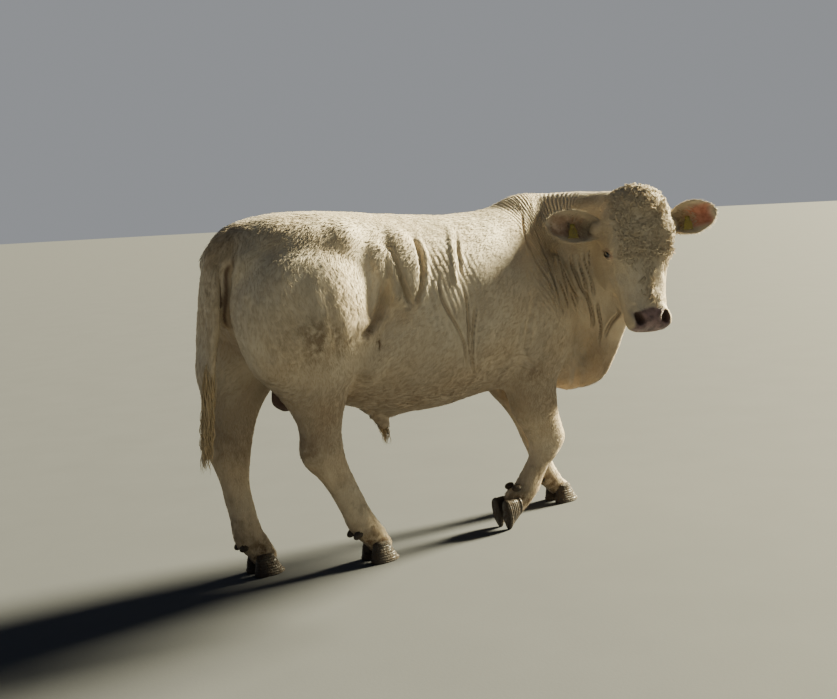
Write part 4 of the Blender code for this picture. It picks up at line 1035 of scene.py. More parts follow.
def colour_group(settings):
    """The node group that gives skin and coat the same markings."""
    tree = bpy.data.node_groups.new("bull_markings", "ShaderNodeTree")
    tree.interface.new_socket("Colour", in_out="OUTPUT", socket_type="NodeSocketColor")
    tree.interface.new_socket("Bare", in_out="OUTPUT", socket_type="NodeSocketFloat")
    tree.interface.new_socket("Muzzle", in_out="OUTPUT", socket_type="NodeSocketFloat")
    tree.interface.new_socket("Wrinkles", in_out="OUTPUT", socket_type="NodeSocketFloat")
    place = object_place(tree)
    marks = add_node(tree, "ShaderNodeAttribute", attribute_name="marks")
    warmth = stored(tree, "warmth")
    parts = add_node(tree, "ShaderNodeSeparateColor", {"Color": marks.outputs["Color"]})
    dirt_and_ear_shade, pink, muzzle = parts.outputs[0], parts.outputs[1], parts.outputs[2]
    dark = marks.outputs["Alpha"]
    broad = mapped(tree, speckle(tree, place, 7.0), 0.35, 0.70)
    fine = mapped(tree, speckle(tree, place, 60.0), 0.30, 0.72)
    warm = maths(tree, "ADD", times(tree, warmth, 0.8), times(tree, broad, 0.3), True)
    coat = mixed(tree, warm, rgba(settings.cream), rgba(settings.straw))
    coat = mixed(tree, times(tree, fine, 0.14), coat, rgba(settings.shade_hair))
    # dirt, with painted shade inside the ear cups
    smear = times(tree, dirt_and_ear_shade, mapped(tree, speckle(tree, place, 34.0, 5.0, 0.65), 0.32, 0.60), True)
    coat = mixed(tree, smear, coat, rgba(settings.dirt_and_ear_shade))
    wave = maths(tree, "SINE", stored(tree, "wrinkle"))
    strength = stored(tree, "wrinkled")
    wave = times(tree, wave, strength)
    painted_trough_shade = mapped(tree, wave, -0.25, -0.95)
    fold = stored(tree, "painted_shade_and_skin")
    # painted shade in the troughs of the fine wrinkles
    coat = mixed(tree, times(tree, painted_trough_shade, 0.60), coat, rgba(settings.shade_hair))
    # painted shade in the folds, the cleft beside the tail, between the thighs and on the temples, and darker
    # skin under thin hair
    coat = mixed(tree, times(tree, fold, 0.85), coat, rgba(settings.painted_shade_and_skin))
    # pink skin, with a painted glow of light through the left ear
    blotch = mapped(tree, speckle(tree, place, 55.0), 0.35, 0.65)
    flesh = mixed(tree, blotch, rgba(settings.pink), rgba(settings.pink_deep))
    coat = mixed(tree, pink, coat, flesh)
    nose = mixed(tree, mapped(tree, speckle(tree, place, 38.0, 4.0), 0.38, 0.66),
                 rgba(settings.muzzle), rgba(settings.muzzle_deep))
    coat = mixed(tree, muzzle, coat, nose)
    # dark skin, with painted shade on the scrotum and inside the nostrils
    coat = mixed(tree, dark, coat, rgba(settings.dark_skin_and_shade))
    bare = maths(tree, "MAXIMUM", maths(tree, "MAXIMUM", pink, muzzle), dark)
    add_node(tree, "NodeGroupOutput", {"Colour": coat, "Bare": bare, "Muzzle": muzzle, "Wrinkles": wave})
    return tree


def new_material(name):
    """An empty material with its shader."""
    material = bpy.data.materials.new(name)
    material.use_nodes = True
    tree = material.node_tree
    return material, tree, tree.nodes["Principled BSDF"]


def set_shader(tree, shader, inputs):
    """Link or set the shader's sockets."""
    for key, value in inputs.items():
        if isinstance(value, bpy.types.NodeSocket):
            tree.links.new(value, shader.inputs[key])
        else:
            shader.inputs[key].default_value = value


def bumped(tree, height, strength, distance):
    """A normal raised by a height."""
    made = add_node(tree, "ShaderNodeBump", {"Height": height, "Strength": strength, "Distance": distance})
    return made.outputs["Normal"]


def skin_material(group):
    """Short flat fur over most of the skin, damp cells on the muzzle, bare skin elsewhere."""
    material, tree, shader = new_material("skin_and_short_fur")
    marks = add_node(tree, "ShaderNodeGroup", node_tree=group)
    place = object_place(tree)
    stretched = add_node(tree, "ShaderNodeMapping", {"Vector": place, "Scale": (0.55, 1.0, 0.28)}).outputs[0]
    hair = add_node(tree, "ShaderNodeTexNoise", {"Vector": stretched, "Scale": 330.0, "Detail": 3.0,
                                                 "Roughness": 0.6, "Distortion": 0.6}).outputs["Fac"]
    tufts = speckle(tree, stretched, 70.0, 3.0)
    fur = maths(tree, "ADD", times(tree, hair, 0.6), tufts)
    cells = add_node(tree, "ShaderNodeTexVoronoi", {"Vector": place, "Scale": 230.0},
                     feature="DISTANCE_TO_EDGE").outputs["Distance"]
    grain = times(tree, mapped(tree, cells, 0.0, 0.28), 0.55)
    height = add_node(tree, "ShaderNodeMix", {0: marks.outputs["Bare"], 2: fur, 3: grain}).outputs[0]
    height = maths(tree, "ADD", height, times(tree, marks.outputs["Wrinkles"], 1.1))
    colour = marks.outputs["Colour"]
    rough = maths(tree, "SUBTRACT", 0.82, times(tree, marks.outputs["Muzzle"], 0.42))
    set_shader(tree, shader, {"Base Color": colour, "Roughness": rough, "Specular IOR Level": 0.35,
                              "Sheen Weight": 0.12, "Sheen Roughness": 0.5,
                              "Normal": bumped(tree, height, 0.75, 0.0035)})
    return material


def hair_material(name, group, tint, shade, depth=1.0):
    """Hair in tufts: the markings of the skin, darker at the root with painted shade, and streaked tuft by
    tuft.
    """
    material, tree, shader = new_material(name)
    marks = add_node(tree, "ShaderNodeGroup", node_tree=group)
    along = stored(tree, "along")
    lot = stored(tree, "lot")
    colour = mixed(tree, 1.0, marks.outputs["Colour"], rgba(tint), "MULTIPLY")
    streak = mapped(tree, lot, 0.0, 1.0, 0.0, 0.22 * depth)
    colour = mixed(tree, streak, colour, rgba(shade), "MULTIPLY")
    # painted shade at the roots of the tufts, stronger as depth grows
    root = mapped(tree, along, 0.0, 0.75, 0.22 * depth, 0.0)
    colour = mixed(tree, root, colour, rgba(shade), "MULTIPLY")
    place = object_place(tree)
    strand = speckle(tree, place, 620.0, 2.0)
    set_shader(tree, shader, {"Base Color": colour, "Roughness": mapped(tree, strand, 0.3, 0.7, 0.55, 0.8),
                              "Specular IOR Level": 0.3, "Sheen Weight": 0.15, "Sheen Roughness": 0.45,
                              "Normal": bumped(tree, strand, 0.35, 0.0008)})
    return material


# Locks, tufts and their charts

def triangle_object(name, points, triangles):
    """A linked object from arrays of points and triangles."""
    mesh = bpy.data.meshes.new(name)
    mesh.vertices.add(len(points))
    mesh.vertices.foreach_set("co", points.astype(np.float32).ravel())
    mesh.loops.add(3 * len(triangles))
    mesh.loops.foreach_set("vertex_index", triangles.astype(np.int32).ravel())
    mesh.polygons.add(len(triangles))
    mesh.polygons.foreach_set("loop_start", np.arange(0, 3 * len(triangles), 3, dtype=np.int32))
    mesh.update(calc_edges=True)
    item = bpy.data.objects.new(name, mesh)
    bpy.context.collection.objects.link(item)
    return item


def lock_triangles(stations):
    """Triangles of one lock: rings of three points, then a tip, closed at the root."""
    rows = [(0, 2, 1)]
    for ring in range(stations - 2):
        for a, b in ((0, 1), (1, 2), (2, 0)):
            low, high = ring * 3, ring * 3 + 3
            rows += [(low + a, low + b, high + b), (low + a, high + b, high + a)]
    last = 3 * (stations - 2)
    return np.array(rows + [(last + a, last + b, last + 3) for a, b in ((0, 1), (1, 2), (2, 0))])


def lock_points(paths, flats, widths, heights):
    """Points of many locks along their paths, with the widths and heights of their stations."""
    along = np.gradient(paths, axis=1)
    side = np.cross(along, flats[:, None, :])
    side /= np.maximum(np.linalg.norm(side, axis=2), 1e-9)[:, :, None]
    rise = np.cross(side, along)
    rise /= np.maximum(np.linalg.norm(rise, axis=2), 1e-9)[:, :, None]
    side = side * widths[:, :, None] * 0.5
    rise = rise * heights[:, :, None]
    rings = np.stack((paths - side, paths + rise, paths + side), 2)[:, :-1]
    return np.concatenate((rings.reshape(len(paths), -1, 3), paths[:, -1:]), axis=1)


def coat_piece(name, locks, chart, material, nodes=(), softness=0.0):
    """Join locks into one piece, with its markings, its shades and its map for baking."""
    paths = locks["paths"]
    count, stations = paths.shape[:2]
    points = lock_points(paths, locks["flats"], locks["widths"], locks["heights"])
    per = points.shape[1]
    triangles = (lock_triangles(stations)[None] + per * np.arange(count)[:, None, None]).reshape(-1, 3)
    item = triangle_object(name, points.reshape(-1, 3), triangles)
    mesh = item.data
    set_marks(mesh, np.repeat(locks["marks"], per, axis=0), np.repeat(locks["more"], per, axis=0))
    level = np.append(np.repeat(np.arange(stations - 1), 3), stations - 1) / (stations - 1)
    corner = np.append(np.tile((-0.5, 0.0, 0.5), stations - 1), 0.0)
    set_value(mesh, "along", np.tile(level, count))
    set_value(mesh, "lot", np.repeat(locks["lot"], per))
    spot = np.stack((corner, level - 0.5), -1) * 0.003
    places = (0.008 + 0.984 * chart)[:, None, :] + spot[None]
    layer = mesh.uv_layers.new(name="OFBake")
    layer.data.foreach_set("uv", places.reshape(-1, 2)[triangles.ravel()].astype(np.float32).ravel())
    mesh.shade_smooth()
    soft = unit(read_normals(mesh) * (1 - softness) + np.repeat(locks["flats"], per, axis=0) * softness)
    mesh.normals_split_custom_set_from_vertices(soft.tolist())
    return finish_piece(item, material, nodes)


def skin_surface():
    """The finished skin in the bull's own frame: object, points, normals and triangles."""
    mesh = bpy.data.objects["skin"].data
    mesh.calc_loop_triangles()
    triangles = np.empty(len(mesh.loop_triangles) * 3, np.int32)
    mesh.loop_triangles.foreach_get("vertices", triangles)
    return read_points(mesh) + ORIGIN, read_normals(mesh), triangles.reshape(-1, 3)


def scatter(count, weight_of, seed):
    """Random places on the skin, more where weight_of says so."""
    points, normals, triangles = skin_surface()
    a, b, c = (points[triangles[:, i]] for i in range(3))
    area = np.linalg.norm(np.cross(b - a, c - a), axis=1) / 2
    weight = area * weight_of((a + b + c) / 3, unit(normals[triangles].sum(1)))
    draw = np.random.default_rng(seed)
    picked = np.searchsorted(np.cumsum(weight) / weight.sum(), draw.uniform(size=count))
    u, v = draw.uniform(size=(2, count, 1))
    over = u + v > 1
    u, v = np.where(over, 1 - u, u), np.where(over, 1 - v, v)
    corners = triangles[picked]
    places = points[corners[:, 0]] * (1 - u - v) + points[corners[:, 1]] * u + points[corners[:, 2]] * v
    ways = normals[corners[:, 0]] * (1 - u - v) + normals[corners[:, 1]] * u + normals[corners[:, 2]] * v
    return places, unit(ways), draw


def leg_share(points):
    """How far each point is inside each leg, from 0 outside to 1."""
    inside = []
    for stations in LEGS.values():
        rows = np.array(smooth_rows(stations, 60, 2))[::-1]
        front, back, y, half = (np.interp(points[:, 2], rows[:, 0], rows[:, i]) for i in range(1, 5))
        across = (points[:, 0] - (front + back) / 2) / ((front - back) / 2)
        reach = np.hypot(across, (points[:, 1] - y) / half)
        inside.append(ramp(reach, 1.6, 1.25) * ramp(points[:, 2], 0.74, 0.66))
    return inside


def ear_values(points, side):
    """Shares of an ear's length and half width at each point, and how far it lies before the ear."""
    root, way, face, across = (np.array(v) for v in ear_axes(side))
    away = points - root
    along = away @ way / EAR_LENGTH
    return along, away @ across / (EAR_WIDTH * 0.5), away @ face


def on_ear(points, side):
    """1 on an ear, 0 elsewhere."""
    along, wide, front = ear_values(points, side)
    return ramp(along, 0.20, 0.30) * ramp(np.abs(wide), 1.5, 1.2) * ramp(np.abs(front), 0.075, 0.055)


def coat_form(points, normals):
    """Length, width, rise and disorder of the tufts at each point."""
    s, side, out = head_values(points)
    away = from_head(points)
    head = ramp(away, 0.42, 0.36)
    legs = np.max(leg_share(points), axis=0)
    low = ramp(points[:, 2], 0.62, 0.42)
    foot = ramp(points[:, 2], 0.24, 0.15)
    mirrored = on_right(points)
    kinds = [
        (ramp(normals[:, 2], 0.25, 0.80), (0.023, 0.0030, 0.12, 0.26)),
        (blob(points, (-0.83, -0.04, 1.26), (0.10, 0.12, 0.12), 0.3), (0.034, 0.0034, 0.30, 0.55)),
        (blob(mirrored, (-0.62, -0.16, 1.26), (0.32, 0.24, 0.20), 0.4), (0.026, 0.0031, 0.16, 0.32)),
        (blob(mirrored, (-0.60, -0.28, 1.00), (0.30, 0.22, 0.26), 0.4), (0.024, 0.0031, 0.12, 0.22)),
        (blob(mirrored, (-0.23, -0.28, 1.14), (0.13, 0.12, 0.22), 0.4), (0.026, 0.0034, 0.20, 0.40)),
        (ramp(points[:, 0], 0.45, 0.60) * ramp(points[:, 2], 1.26, 1.34), (0.026, 0.0032, 0.16, 0.30)),
        (ramp(normals[:, 2], -0.5, -0.9), (0.024, 0.0032, 0.10, 0.25)),
        (ramp(points[:, 0], 0.40, 0.50) * ramp(points[:, 2], 0.84, 0.95), (0.0115, 0.0023, 0.05, 0.14)),
        (legs, (0.018, 0.0028, 0.09, 0.22)),
        (legs * low, (0.0120, 0.0023, 0.08, 0.20)),
        (foot, (0.016, 0.0026, 0.14, 0.30)),
        (head, (0.0125, 0.0023, 0.09, 0.22)),
        (head * ramp(out, -0.04, 0.02), (0.0090, 0.0020, 0.09, 0.22)),
        (head * ramp(s, 0.40, 0.28) * ramp(np.abs(side), 0.060, 0.095), (0.0200, 0.0029, 0.32, 0.55)),
        (head * ramp(s, 0.36, 0.26) * ramp(out, -0.02, 0.03) * ramp(side, -0.11, -0.08),
         (0.019, 0.0034, 0.35, 1.2)),
        (head * ramp(s, 0.46, 0.50), (0.0055, 0.0017, 0.07, 0.15)),
        (np.maximum(on_ear(points, -1), on_ear(points, 1)), (0.013, 0.0022, 0.12, 0.22)),
        (ramp(points[:, 0], -0.872, -0.885), (0.026, 0.0030, 0.12, 0.25)),
    ]
    form = np.tile((0.020, 0.0028, 0.050, 0.13), (len(points), 1))
    for share, values in kinds:
        form = form * (1 - share[:, None]) + np.array(values) * share[:, None]
    return form


def lie_of_coat(points, normals):
    """The direction in which the hair lies at each point."""
    s = head_values(points)[0]
    x, z = points[:, 0], points[:, 2]
    mirrored = on_right(points)
    away = from_head(points)
    legs = np.max(leg_share(points), axis=0)
    ways = np.tile((-0.80, 0.0, -0.42), (len(points), 1))
    steps = [
        (ramp(z, 0.95, 0.75), (-0.65, 0.0, -0.55)),
        (ramp(x, -0.35, -0.60) * ramp(z, 1.05, 1.2), (-0.75, 0.0, -0.62)),
        (blob(mirrored, (-0.58, -0.28, 0.98), (0.34, 0.24, 0.30), 0.6), (0.42, 0.0, -0.90)),
        (ramp(normals[:, 0], -0.35, -0.70) * ramp(x, -0.6, -0.75), (0.05, 0.0, -1.0)),
        (ramp(normals[:, 2], -0.45, -0.8), (-1.0, 0.0, -0.1)),
        (ramp(x, 0.42, 0.58), (-0.50, 0.22, -0.80)),
        (ramp(x, 0.45, 0.60) * ramp(z, 1.24, 1.34), (-0.85, 0.25, -0.35)),
        (ramp(x, 0.55, 0.68) * ramp(z, 0.95, 0.80), (-0.15, 0.0, -1.0)),
        (legs, (-0.08, 0.0, -1.0)),
        (ramp(x, -0.868, -0.885), (0.0, 0.0, -1.0)),
    ]
    for share, way in steps:
        ways = ways * (1 - share[:, None]) + np.array(way) * share[:, None]
    share = ramp(away, 0.40, 0.30)[:, None]
    radial = unit(points - np.array(on_head(*WHORL)) + 0.35 * np.outer(ramp(s, 0.30, 0.45), np.array(DOWN)))
    ways = ways * (1 - share) + radial * share
    for sign in (-1, 1):
        share = on_ear(points, sign)[:, None]
        ways = ways * (1 - share) + np.array(ear_axes(sign)[1]) * share
    for line, width, _, dark in fold_lines():
        if dark:
            index, away, fade, run = fold_values(points, line, width, normals)
            share = (np.minimum(1.0, 2.0 * fade) * np.exp(-(away / 2.4) ** 2))[:, None]
            ways[index] = ways[index] * (1 - share) + run * share
    ways -= normals * (ways * normals).sum(1)[:, None]
    return unit(ways)


def turned(ways, normals, angles):
    """Directions turned about the surface's normals."""
    return ways * np.cos(angles)[:, None] + np.cross(normals, ways) * np.sin(angles)[:, None]


def path_chart(points, path):
    """Angle round a path and place along it."""
    along = unit(np.gradient(path, axis=0))
    nearest = np.empty(len(points), int)
    for start in range(0, len(points), 20000):
        some = points[start:start + 20000]
        nearest[start:start + 20000] = np.linalg.norm(some[:, None] - path[None], axis=2).argmin(1)
    away = points - path[nearest]
    way = along[nearest]
    up = unit(np.array((0.0, 0.0, 1.0)) + 0.001 - way * (way @ np.array((0.0, 0.0, 1.0)))[:, None])
    side = np.cross(way, up)
    reach = np.linalg.norm(np.diff(path, axis=0), axis=1)
    places = np.concatenate(((0.0,), np.cumsum(reach)))[nearest] + (away * way).sum(1)
    return np.arctan2((away * side).sum(1), -(away * up).sum(1)), places


def scaled(values):
    """Each column spread from 0 to 1."""
    low, high = values.min(0), values.max(0)
    return (values - low) / np.maximum(high - low, 1e-6)


def regions(points):
    """The part of the coat that each point belongs to, and its chart there."""
    x, y, z = points.T
    away = from_head(points)
    names = np.full(len(points), "trunk_right", dtype=object)
    names[y > 0] = "trunk_left"
    names[(x < -0.28) & (y <= 0)] = "rump_right"
    names[(x < -0.28) & (y > 0)] = "rump_left"
    names[x > 0.46] = "neck"
    legs = leg_share(points)
    for name, share in zip(LEGS, legs):
        names[share > 0.5] = "leg_" + name
    names[away < 0.355] = "head"
    names[(on_ear(points, -1) > 0.5)] = "ear_right"
    names[(on_ear(points, 1) > 0.5)] = "ear_left"
    names[(x < -0.868) & (np.abs(y) < 0.06)] = "tail"
    charts = np.zeros((len(points), 2))
    spine = np.stack((np.linspace(-1.0, 0.6, 60), np.zeros(60), np.full(60, 0.96)), -1)
    neck = smooth_rows(NECK, 60)[:, :3]
    face = np.array([np.array(on_head(v, 0.0, -0.06)) for v in np.linspace(-0.05, 0.6, 60)])
    paths = {"neck": neck, "head": face, "tail": smooth_rows(TAIL, 60)[:, :3]}
    for name, stations in LEGS.items():
        rows = smooth_rows(stations, 60, 2)
        paths["leg_" + name] = np.stack(((rows[:, 1] + rows[:, 2]) / 2, rows[:, 3], rows[:, 0]), -1)
    for name in set(names):
        here = names == name
        if name.startswith("ear"):
            along, wide, front = ear_values(points[here], -1 if name == "ear_right" else 1)
            charts[here] = scaled(np.stack((wide + np.where(front > 0, 2.4, 0.0), along), -1))
        elif name.startswith("leg"):
            path = paths[name]
            across, ahead = (v - np.interp(z[here], path[::-1, 2], path[::-1, i])
                             for v, i in ((y[here], 1), (x[here], 0)))
            charts[here] = scaled(np.stack((np.arctan2(across, ahead), z[here]), -1))
        else:
            charts[here] = scaled(np.stack(path_chart(points[here], paths.get(name, spine)), -1))
    return names, charts


def hairless(points, normals):
    """1 where no hair grows: muzzle, lids, inside of the ears, deep folds, scrotum, soles."""
    marks = markings(points, normals)[0]
    bare = np.clip(marks[:, 1] * 1.5 + marks[:, 2] * 2.0 + marks[:, 3] * 1.2, 0, 1)
    bare = np.maximum(bare, np.clip(3.0 * creases(points, normals), 0, 1))
    bare = np.maximum(bare, ramp(from_eyes(points), 0.031, 0.027))
    return np.maximum(bare, ramp(points[:, 2], 0.052, 0.040))


def body_tufts(settings):
    """The flat tufts of the whole coat."""
    def wanted(points, normals):
        form = coat_form(points, normals)
        length, width = form[:, :2].T
        return (1 - hairless(points, normals)) * (0.35 + form[:, 2] * 5.0) / (length * width)

    count = settings.tufts // 1
    places, normals, draw = scatter(count, wanted, settings.seed)
    form = coat_form(places, normals)
    length = form[:, 0] * draw.uniform(0.70, 1.30, count) * settings.length
    width = form[:, 1] * draw.uniform(0.75, 1.25, count)
    clump = noise(places, 0.022, 31)
    rise = form[:, 2] * (1.0 + 0.6 * clump) * draw.uniform(0.6, 1.4, count)
    angle = form[:, 3] * (1.1 * noise(places, 0.045, 32) + 0.7 * noise(places, 0.016, 33)
                          + 0.35 * draw.normal(size=count))
    ways = turned(lie_of_coat(places, normals), normals, angle)
    crossed = [creases(places + ways * (length * share)[:, None], normals) for share in (0.4, 0.75, 1.0)]
    length *= 1.0 - 0.8 * np.clip(3.0 * np.max(crossed, axis=0), 0, 1)
    length *= 1.0 - 0.55 * ramp(from_eyes(places), 0.050, 0.032)
    bend = np.cross(normals, ways) * (draw.uniform(-0.25, 0.25, count) * form[:, 3] / 0.4)[:, None]
    middle = places + (ways * 0.50 + normals * (0.52 * rise + 0.030)[:, None] - bend * 0.1) * length[:, None]
    tip = places + (ways + normals * (0.80 * rise)[:, None] + bend * 0.5) * length[:, None]
    paths = np.stack((places - normals * 0.0012 - ways * 0.001, middle, tip), 1)
    widths = width[:, None] * np.array((0.75, 1.0, 0.0))
    marks, more = markings(places, normals)
    more[:, 2] = wrinkles(middle)[0]
    return {"paths": paths, "flats": normals, "widths": widths, "heights": widths * 0.30,
            "marks": marks, "more": more, "lot": draw.uniform(size=count)}, places


def pick(locks, index):
    """Some of the locks."""
    return {key: value[index] for key, value in locks.items()}


def curl_zone(points, normals):
    """Where the poll and the forehead are curly, and the ridge of wavy hair down the nose."""
    s, side, out = head_values(points)
    front = ramp(out, -0.035, 0.005)
    brow = ramp(s, 0.350, 0.245) * ramp(side, -0.125, -0.070) * ramp(side, 0.150, 0.110) * front
    poll = ramp(s, 0.10, 0.04) * ramp(np.abs(side), 0.125, 0.09) * ramp(out, -0.125, -0.075)
    ridge = 0.9 * ramp(np.abs(side - 0.003), 0.040, 0.012) * ramp(s, 0.490, 0.44) * front * ramp(s, 0.2, 0.26)
    near = far_from(points, on_head(0.2, 0.0, 0.0)) < 0.32
    return np.maximum(np.maximum(brow, poll), ridge) * near


def head_curls(settings):
    """Small curls close together on the poll and the forehead, finer down the nose."""
    strands = 3
    count = settings.curls // 1
    places, normals, draw = scatter(count, curl_zone, settings.seed + 1)
    down_nose = ramp(head_values(places)[0], 0.27, 0.34)
    ways = turned(lie_of_coat(places, normals), normals, 1.0 * noise(places, 0.040, 41)
                  + 0.45 * draw.normal(size=count) * (1 - 0.7 * down_nose))
    size = draw.uniform(0.0060, 0.0120, count) * (1 - 0.45 * down_nose)
    hand = np.where(noise(places, 0.035, 42) + 0.4 * draw.normal(size=count) > 0, 1.0, -1.0)
    turns = draw.uniform(3.2, 5.6, count) * (1 - 0.50 * down_nose)
    lift = (0.0070 + 0.0055 * noise(places, 0.030, 43)) * draw.uniform(0.6, 1.4, count)
    lift = lift * (1 - 0.55 * down_nose)
    reach = draw.uniform(0.7, 1.6, count) + 1.6 * down_nose
    lot = draw.uniform(size=count)
    places, normals, ways = (np.repeat(v, strands, axis=0) for v in (places, normals, ways))
    size, hand, turns, lift, reach, lot, down_nose = (np.repeat(v, strands) for v in (
        size, hand, turns, lift, reach, lot, down_nose))
    count *= strands
    across = np.cross(normals, ways)
    row = (np.tile(np.arange(strands), count // strands) - (strands - 1) / 2) * 0.0019
    size = size + row * hand
    turns = turns * draw.uniform(0.9, 1.1, count)
    lift = lift * draw.uniform(0.8, 1.2, count)
    stations = 8
    paths = np.empty((count, stations, 3))
    for k, t in enumerate(np.linspace(0.0, 1.0, stations)):
        swing = turns * t
        arm = size * (1.0 - 0.30 * t)
        forward = arm * np.sin(swing) + 0.008 * reach * t
        sideways = hand * (size - arm * np.cos(swing)) - row
        height = lift * math.sin(math.pi * (0.10 + 0.72 * t)) - 0.0020 * (t == 0.0)
        paths[:, k] = places + ways * forward[:, None] + across * sideways[:, None]
        paths[:, k] += normals * height[:, None]
    widths = draw.uniform(0.0021, 0.0034, count)[:, None] * (1 - 0.25 * down_nose)[:, None] \
        * np.array((0.7, 0.95, 1.0, 1.0, 0.95, 0.8, 0.55, 0.0))
    marks, more = markings(places, normals)
    return {"paths": paths, "flats": normals, "widths": widths, "heights": widths * 0.6,
            "marks": marks * (1, 0, 0, 0), "more": more * (0.15, 0, 0, 0), "lot": lot * 0.7
            + 0.3 * draw.uniform(size=count)}, places


def hanging_hair(count, top, low, spread, width, stations, curl, seed):
    """Long locks that hang round a line and curl at their ends."""
    draw = np.random.default_rng(seed)
    share = draw.uniform(size=count)
    turn = draw.uniform(0, math.tau, count)
    way = np.stack((np.cos(turn), 0.85 * np.sin(turn), np.zeros(count)), -1)
    roots = np.array(top[0]) * (1 - share[:, None]) + np.array(top[1]) * share[:, None]
    ends = np.array(low[0]) * (1 - share[:, None]) + np.array(low[1]) * share[:, None]
    ends[:, 2] += draw.uniform(-0.03, 0.03, count)
    wide = spread * draw.uniform(0.35, 1.0, count)
    phase = draw.uniform(0, math.tau, count)
    paths = np.empty((count, stations, 3))
    for k, t in enumerate(np.linspace(0.0, 1.0, stations)):
        out = wide * (0.10 + 0.90 * math.sin(min(t / 0.55, 1.0) * math.pi / 2) - 0.25 * max(t - 0.6, 0) / 0.4)
        twist = phase + 7.0 * t + 5.0 * max(t - 0.6, 0.0)
        loose = curl * (0.25 + 0.75 * t) * min(1.0, t * 3)
        path = roots * (1 - t) + ends * t + way * out[:, None]
        path[:, 0] += loose * np.cos(twist)
        path[:, 1] += loose * np.sin(twist)
        paths[:, k] = path
    profile = np.interp(np.linspace(0, 1, stations), (0.0, 0.25, 0.7, 1.0), (0.6, 1.0, 0.75, 0.0))
    widths = width * draw.uniform(0.6, 1.3, count)[:, None] * profile
    return paths, way, widths, draw


def hair_on_line(paths, way, widths, draw, warmth, dirty):
    """Locks with the markings of dirty, warm hair."""
    count = len(paths)
    marks = np.zeros((count, 4))
    marks[:, 0] = dirty * draw.uniform(0.3, 1.0, count)
    more = np.zeros((count, 4))
    more[:, 0] = np.clip(warmth + draw.uniform(-0.2, 0.2, count), 0, 1)
    return {"paths": paths, "flats": way, "widths": widths, "heights": widths * 0.35, "marks": marks,
            "more": more, "lot": draw.uniform(size=count)}


def hanging_piece(name, made, warmth, dirty, material, nodes=()):
    """Hanging hair as one piece, mapped by its turn round the line and its height."""
    paths, way = made[:2]
    chart = scaled(np.stack((np.arctan2(way[:, 1], way[:, 0]), paths[:, 0, 2]), -1))
    coat_piece(name, hair_on_line(*made, warmth, dirty), chart, material, nodes)


def ear_fringe(count, side, seed):
    """Pale hair along the rim and out of the cup of an ear."""
    draw = np.random.default_rng(seed)
    root, way, face, across = (np.array(v) for v in ear_axes(side))
    along = draw.uniform(0.16, 0.97, count)
    shares, halves, cups = zip(*EAR)
    half = np.interp(along, shares, halves)
    cup = np.interp(along, shares, cups)
    rim = draw.uniform(size=count) < 0.60
    place = np.where(rim, np.where(draw.uniform(size=count) < 0.5, 1, -1) * draw.uniform(0.90, 1.0, count),
                     draw.uniform(-0.85, 0.85, count))
    along = np.where(rim, along, draw.uniform(0.16, 0.62, count))
    half *= EAR_WIDTH
    bend = cup * EAR_WIDTH * (place * place - 0.6) * 0.9
    roots = root + np.outer(along * EAR_LENGTH, way) + np.outer(place * half, across) \
        + np.outer(bend + np.where(rim, 0.0, 0.003), face)
    inward = np.where(rim, 0.0, -np.sign(place))
    out = unit(np.outer(draw.uniform(0.5, 1.0, count), way)
               + np.outer(np.where(rim, np.sign(place) * draw.uniform(0.2, 0.8, count), inward * 0.5), across)
               + np.outer(draw.uniform(0.05, 0.5, count) + 0.35 * (~rim), face))
    length = draw.uniform(0.008, 0.018, count) * np.where(rim, 1.0, 1.5)
    paths = np.empty((count, 5, 3))
    for k, t in enumerate(np.linspace(0.0, 1.0, 5)):
        paths[:, k] = roots + out * (length * t)[:, None] + np.outer(-0.35 * length * t * t, (0, 0, 1.0))
    widths = draw.uniform(0.0014, 0.0024, count)[:, None] * np.array((0.8, 1.0, 0.8, 0.5, 0.0))
    flats = np.tile(face, (count, 1))
    return paths, flats, widths, draw, scaled(np.stack((place, along), -1))


# Eyes, lids, hooves and tags

def eyeball(centre, side, radius):
    """An eyeball with a bulging cornea, and how much iris and pupil lies at each of its points."""
    long, high, look = (np.array(v) for v in eye_frame(side))
    rings = []
    around = np.linspace(0.0, math.tau, 48, endpoint=False)
    for lean in np.linspace(0.04, math.pi - 0.04, 40):
        reach = radius * (1.0 + 0.055 * math.exp(-(lean / 0.42) ** 2))
        ring = np.outer(np.cos(around), long) + np.outer(np.sin(around), high)
        rings.append(np.array(centre) + reach * (math.sin(lean) * ring + math.cos(lean) * look))
    points, faces = ring_mesh(rings)
    away = (np.array(points) - np.array(centre)) / radius
    across, up, ahead = away @ long, away @ high, away @ look
    iris = ramp(np.hypot(across, up), 0.64, 0.56) * (ahead > 0)
    pupil = ramp(np.hypot(across / 0.44, up / 0.26), 1.10, 0.90) * (ahead > 0)
    return points, faces, iris, pupil


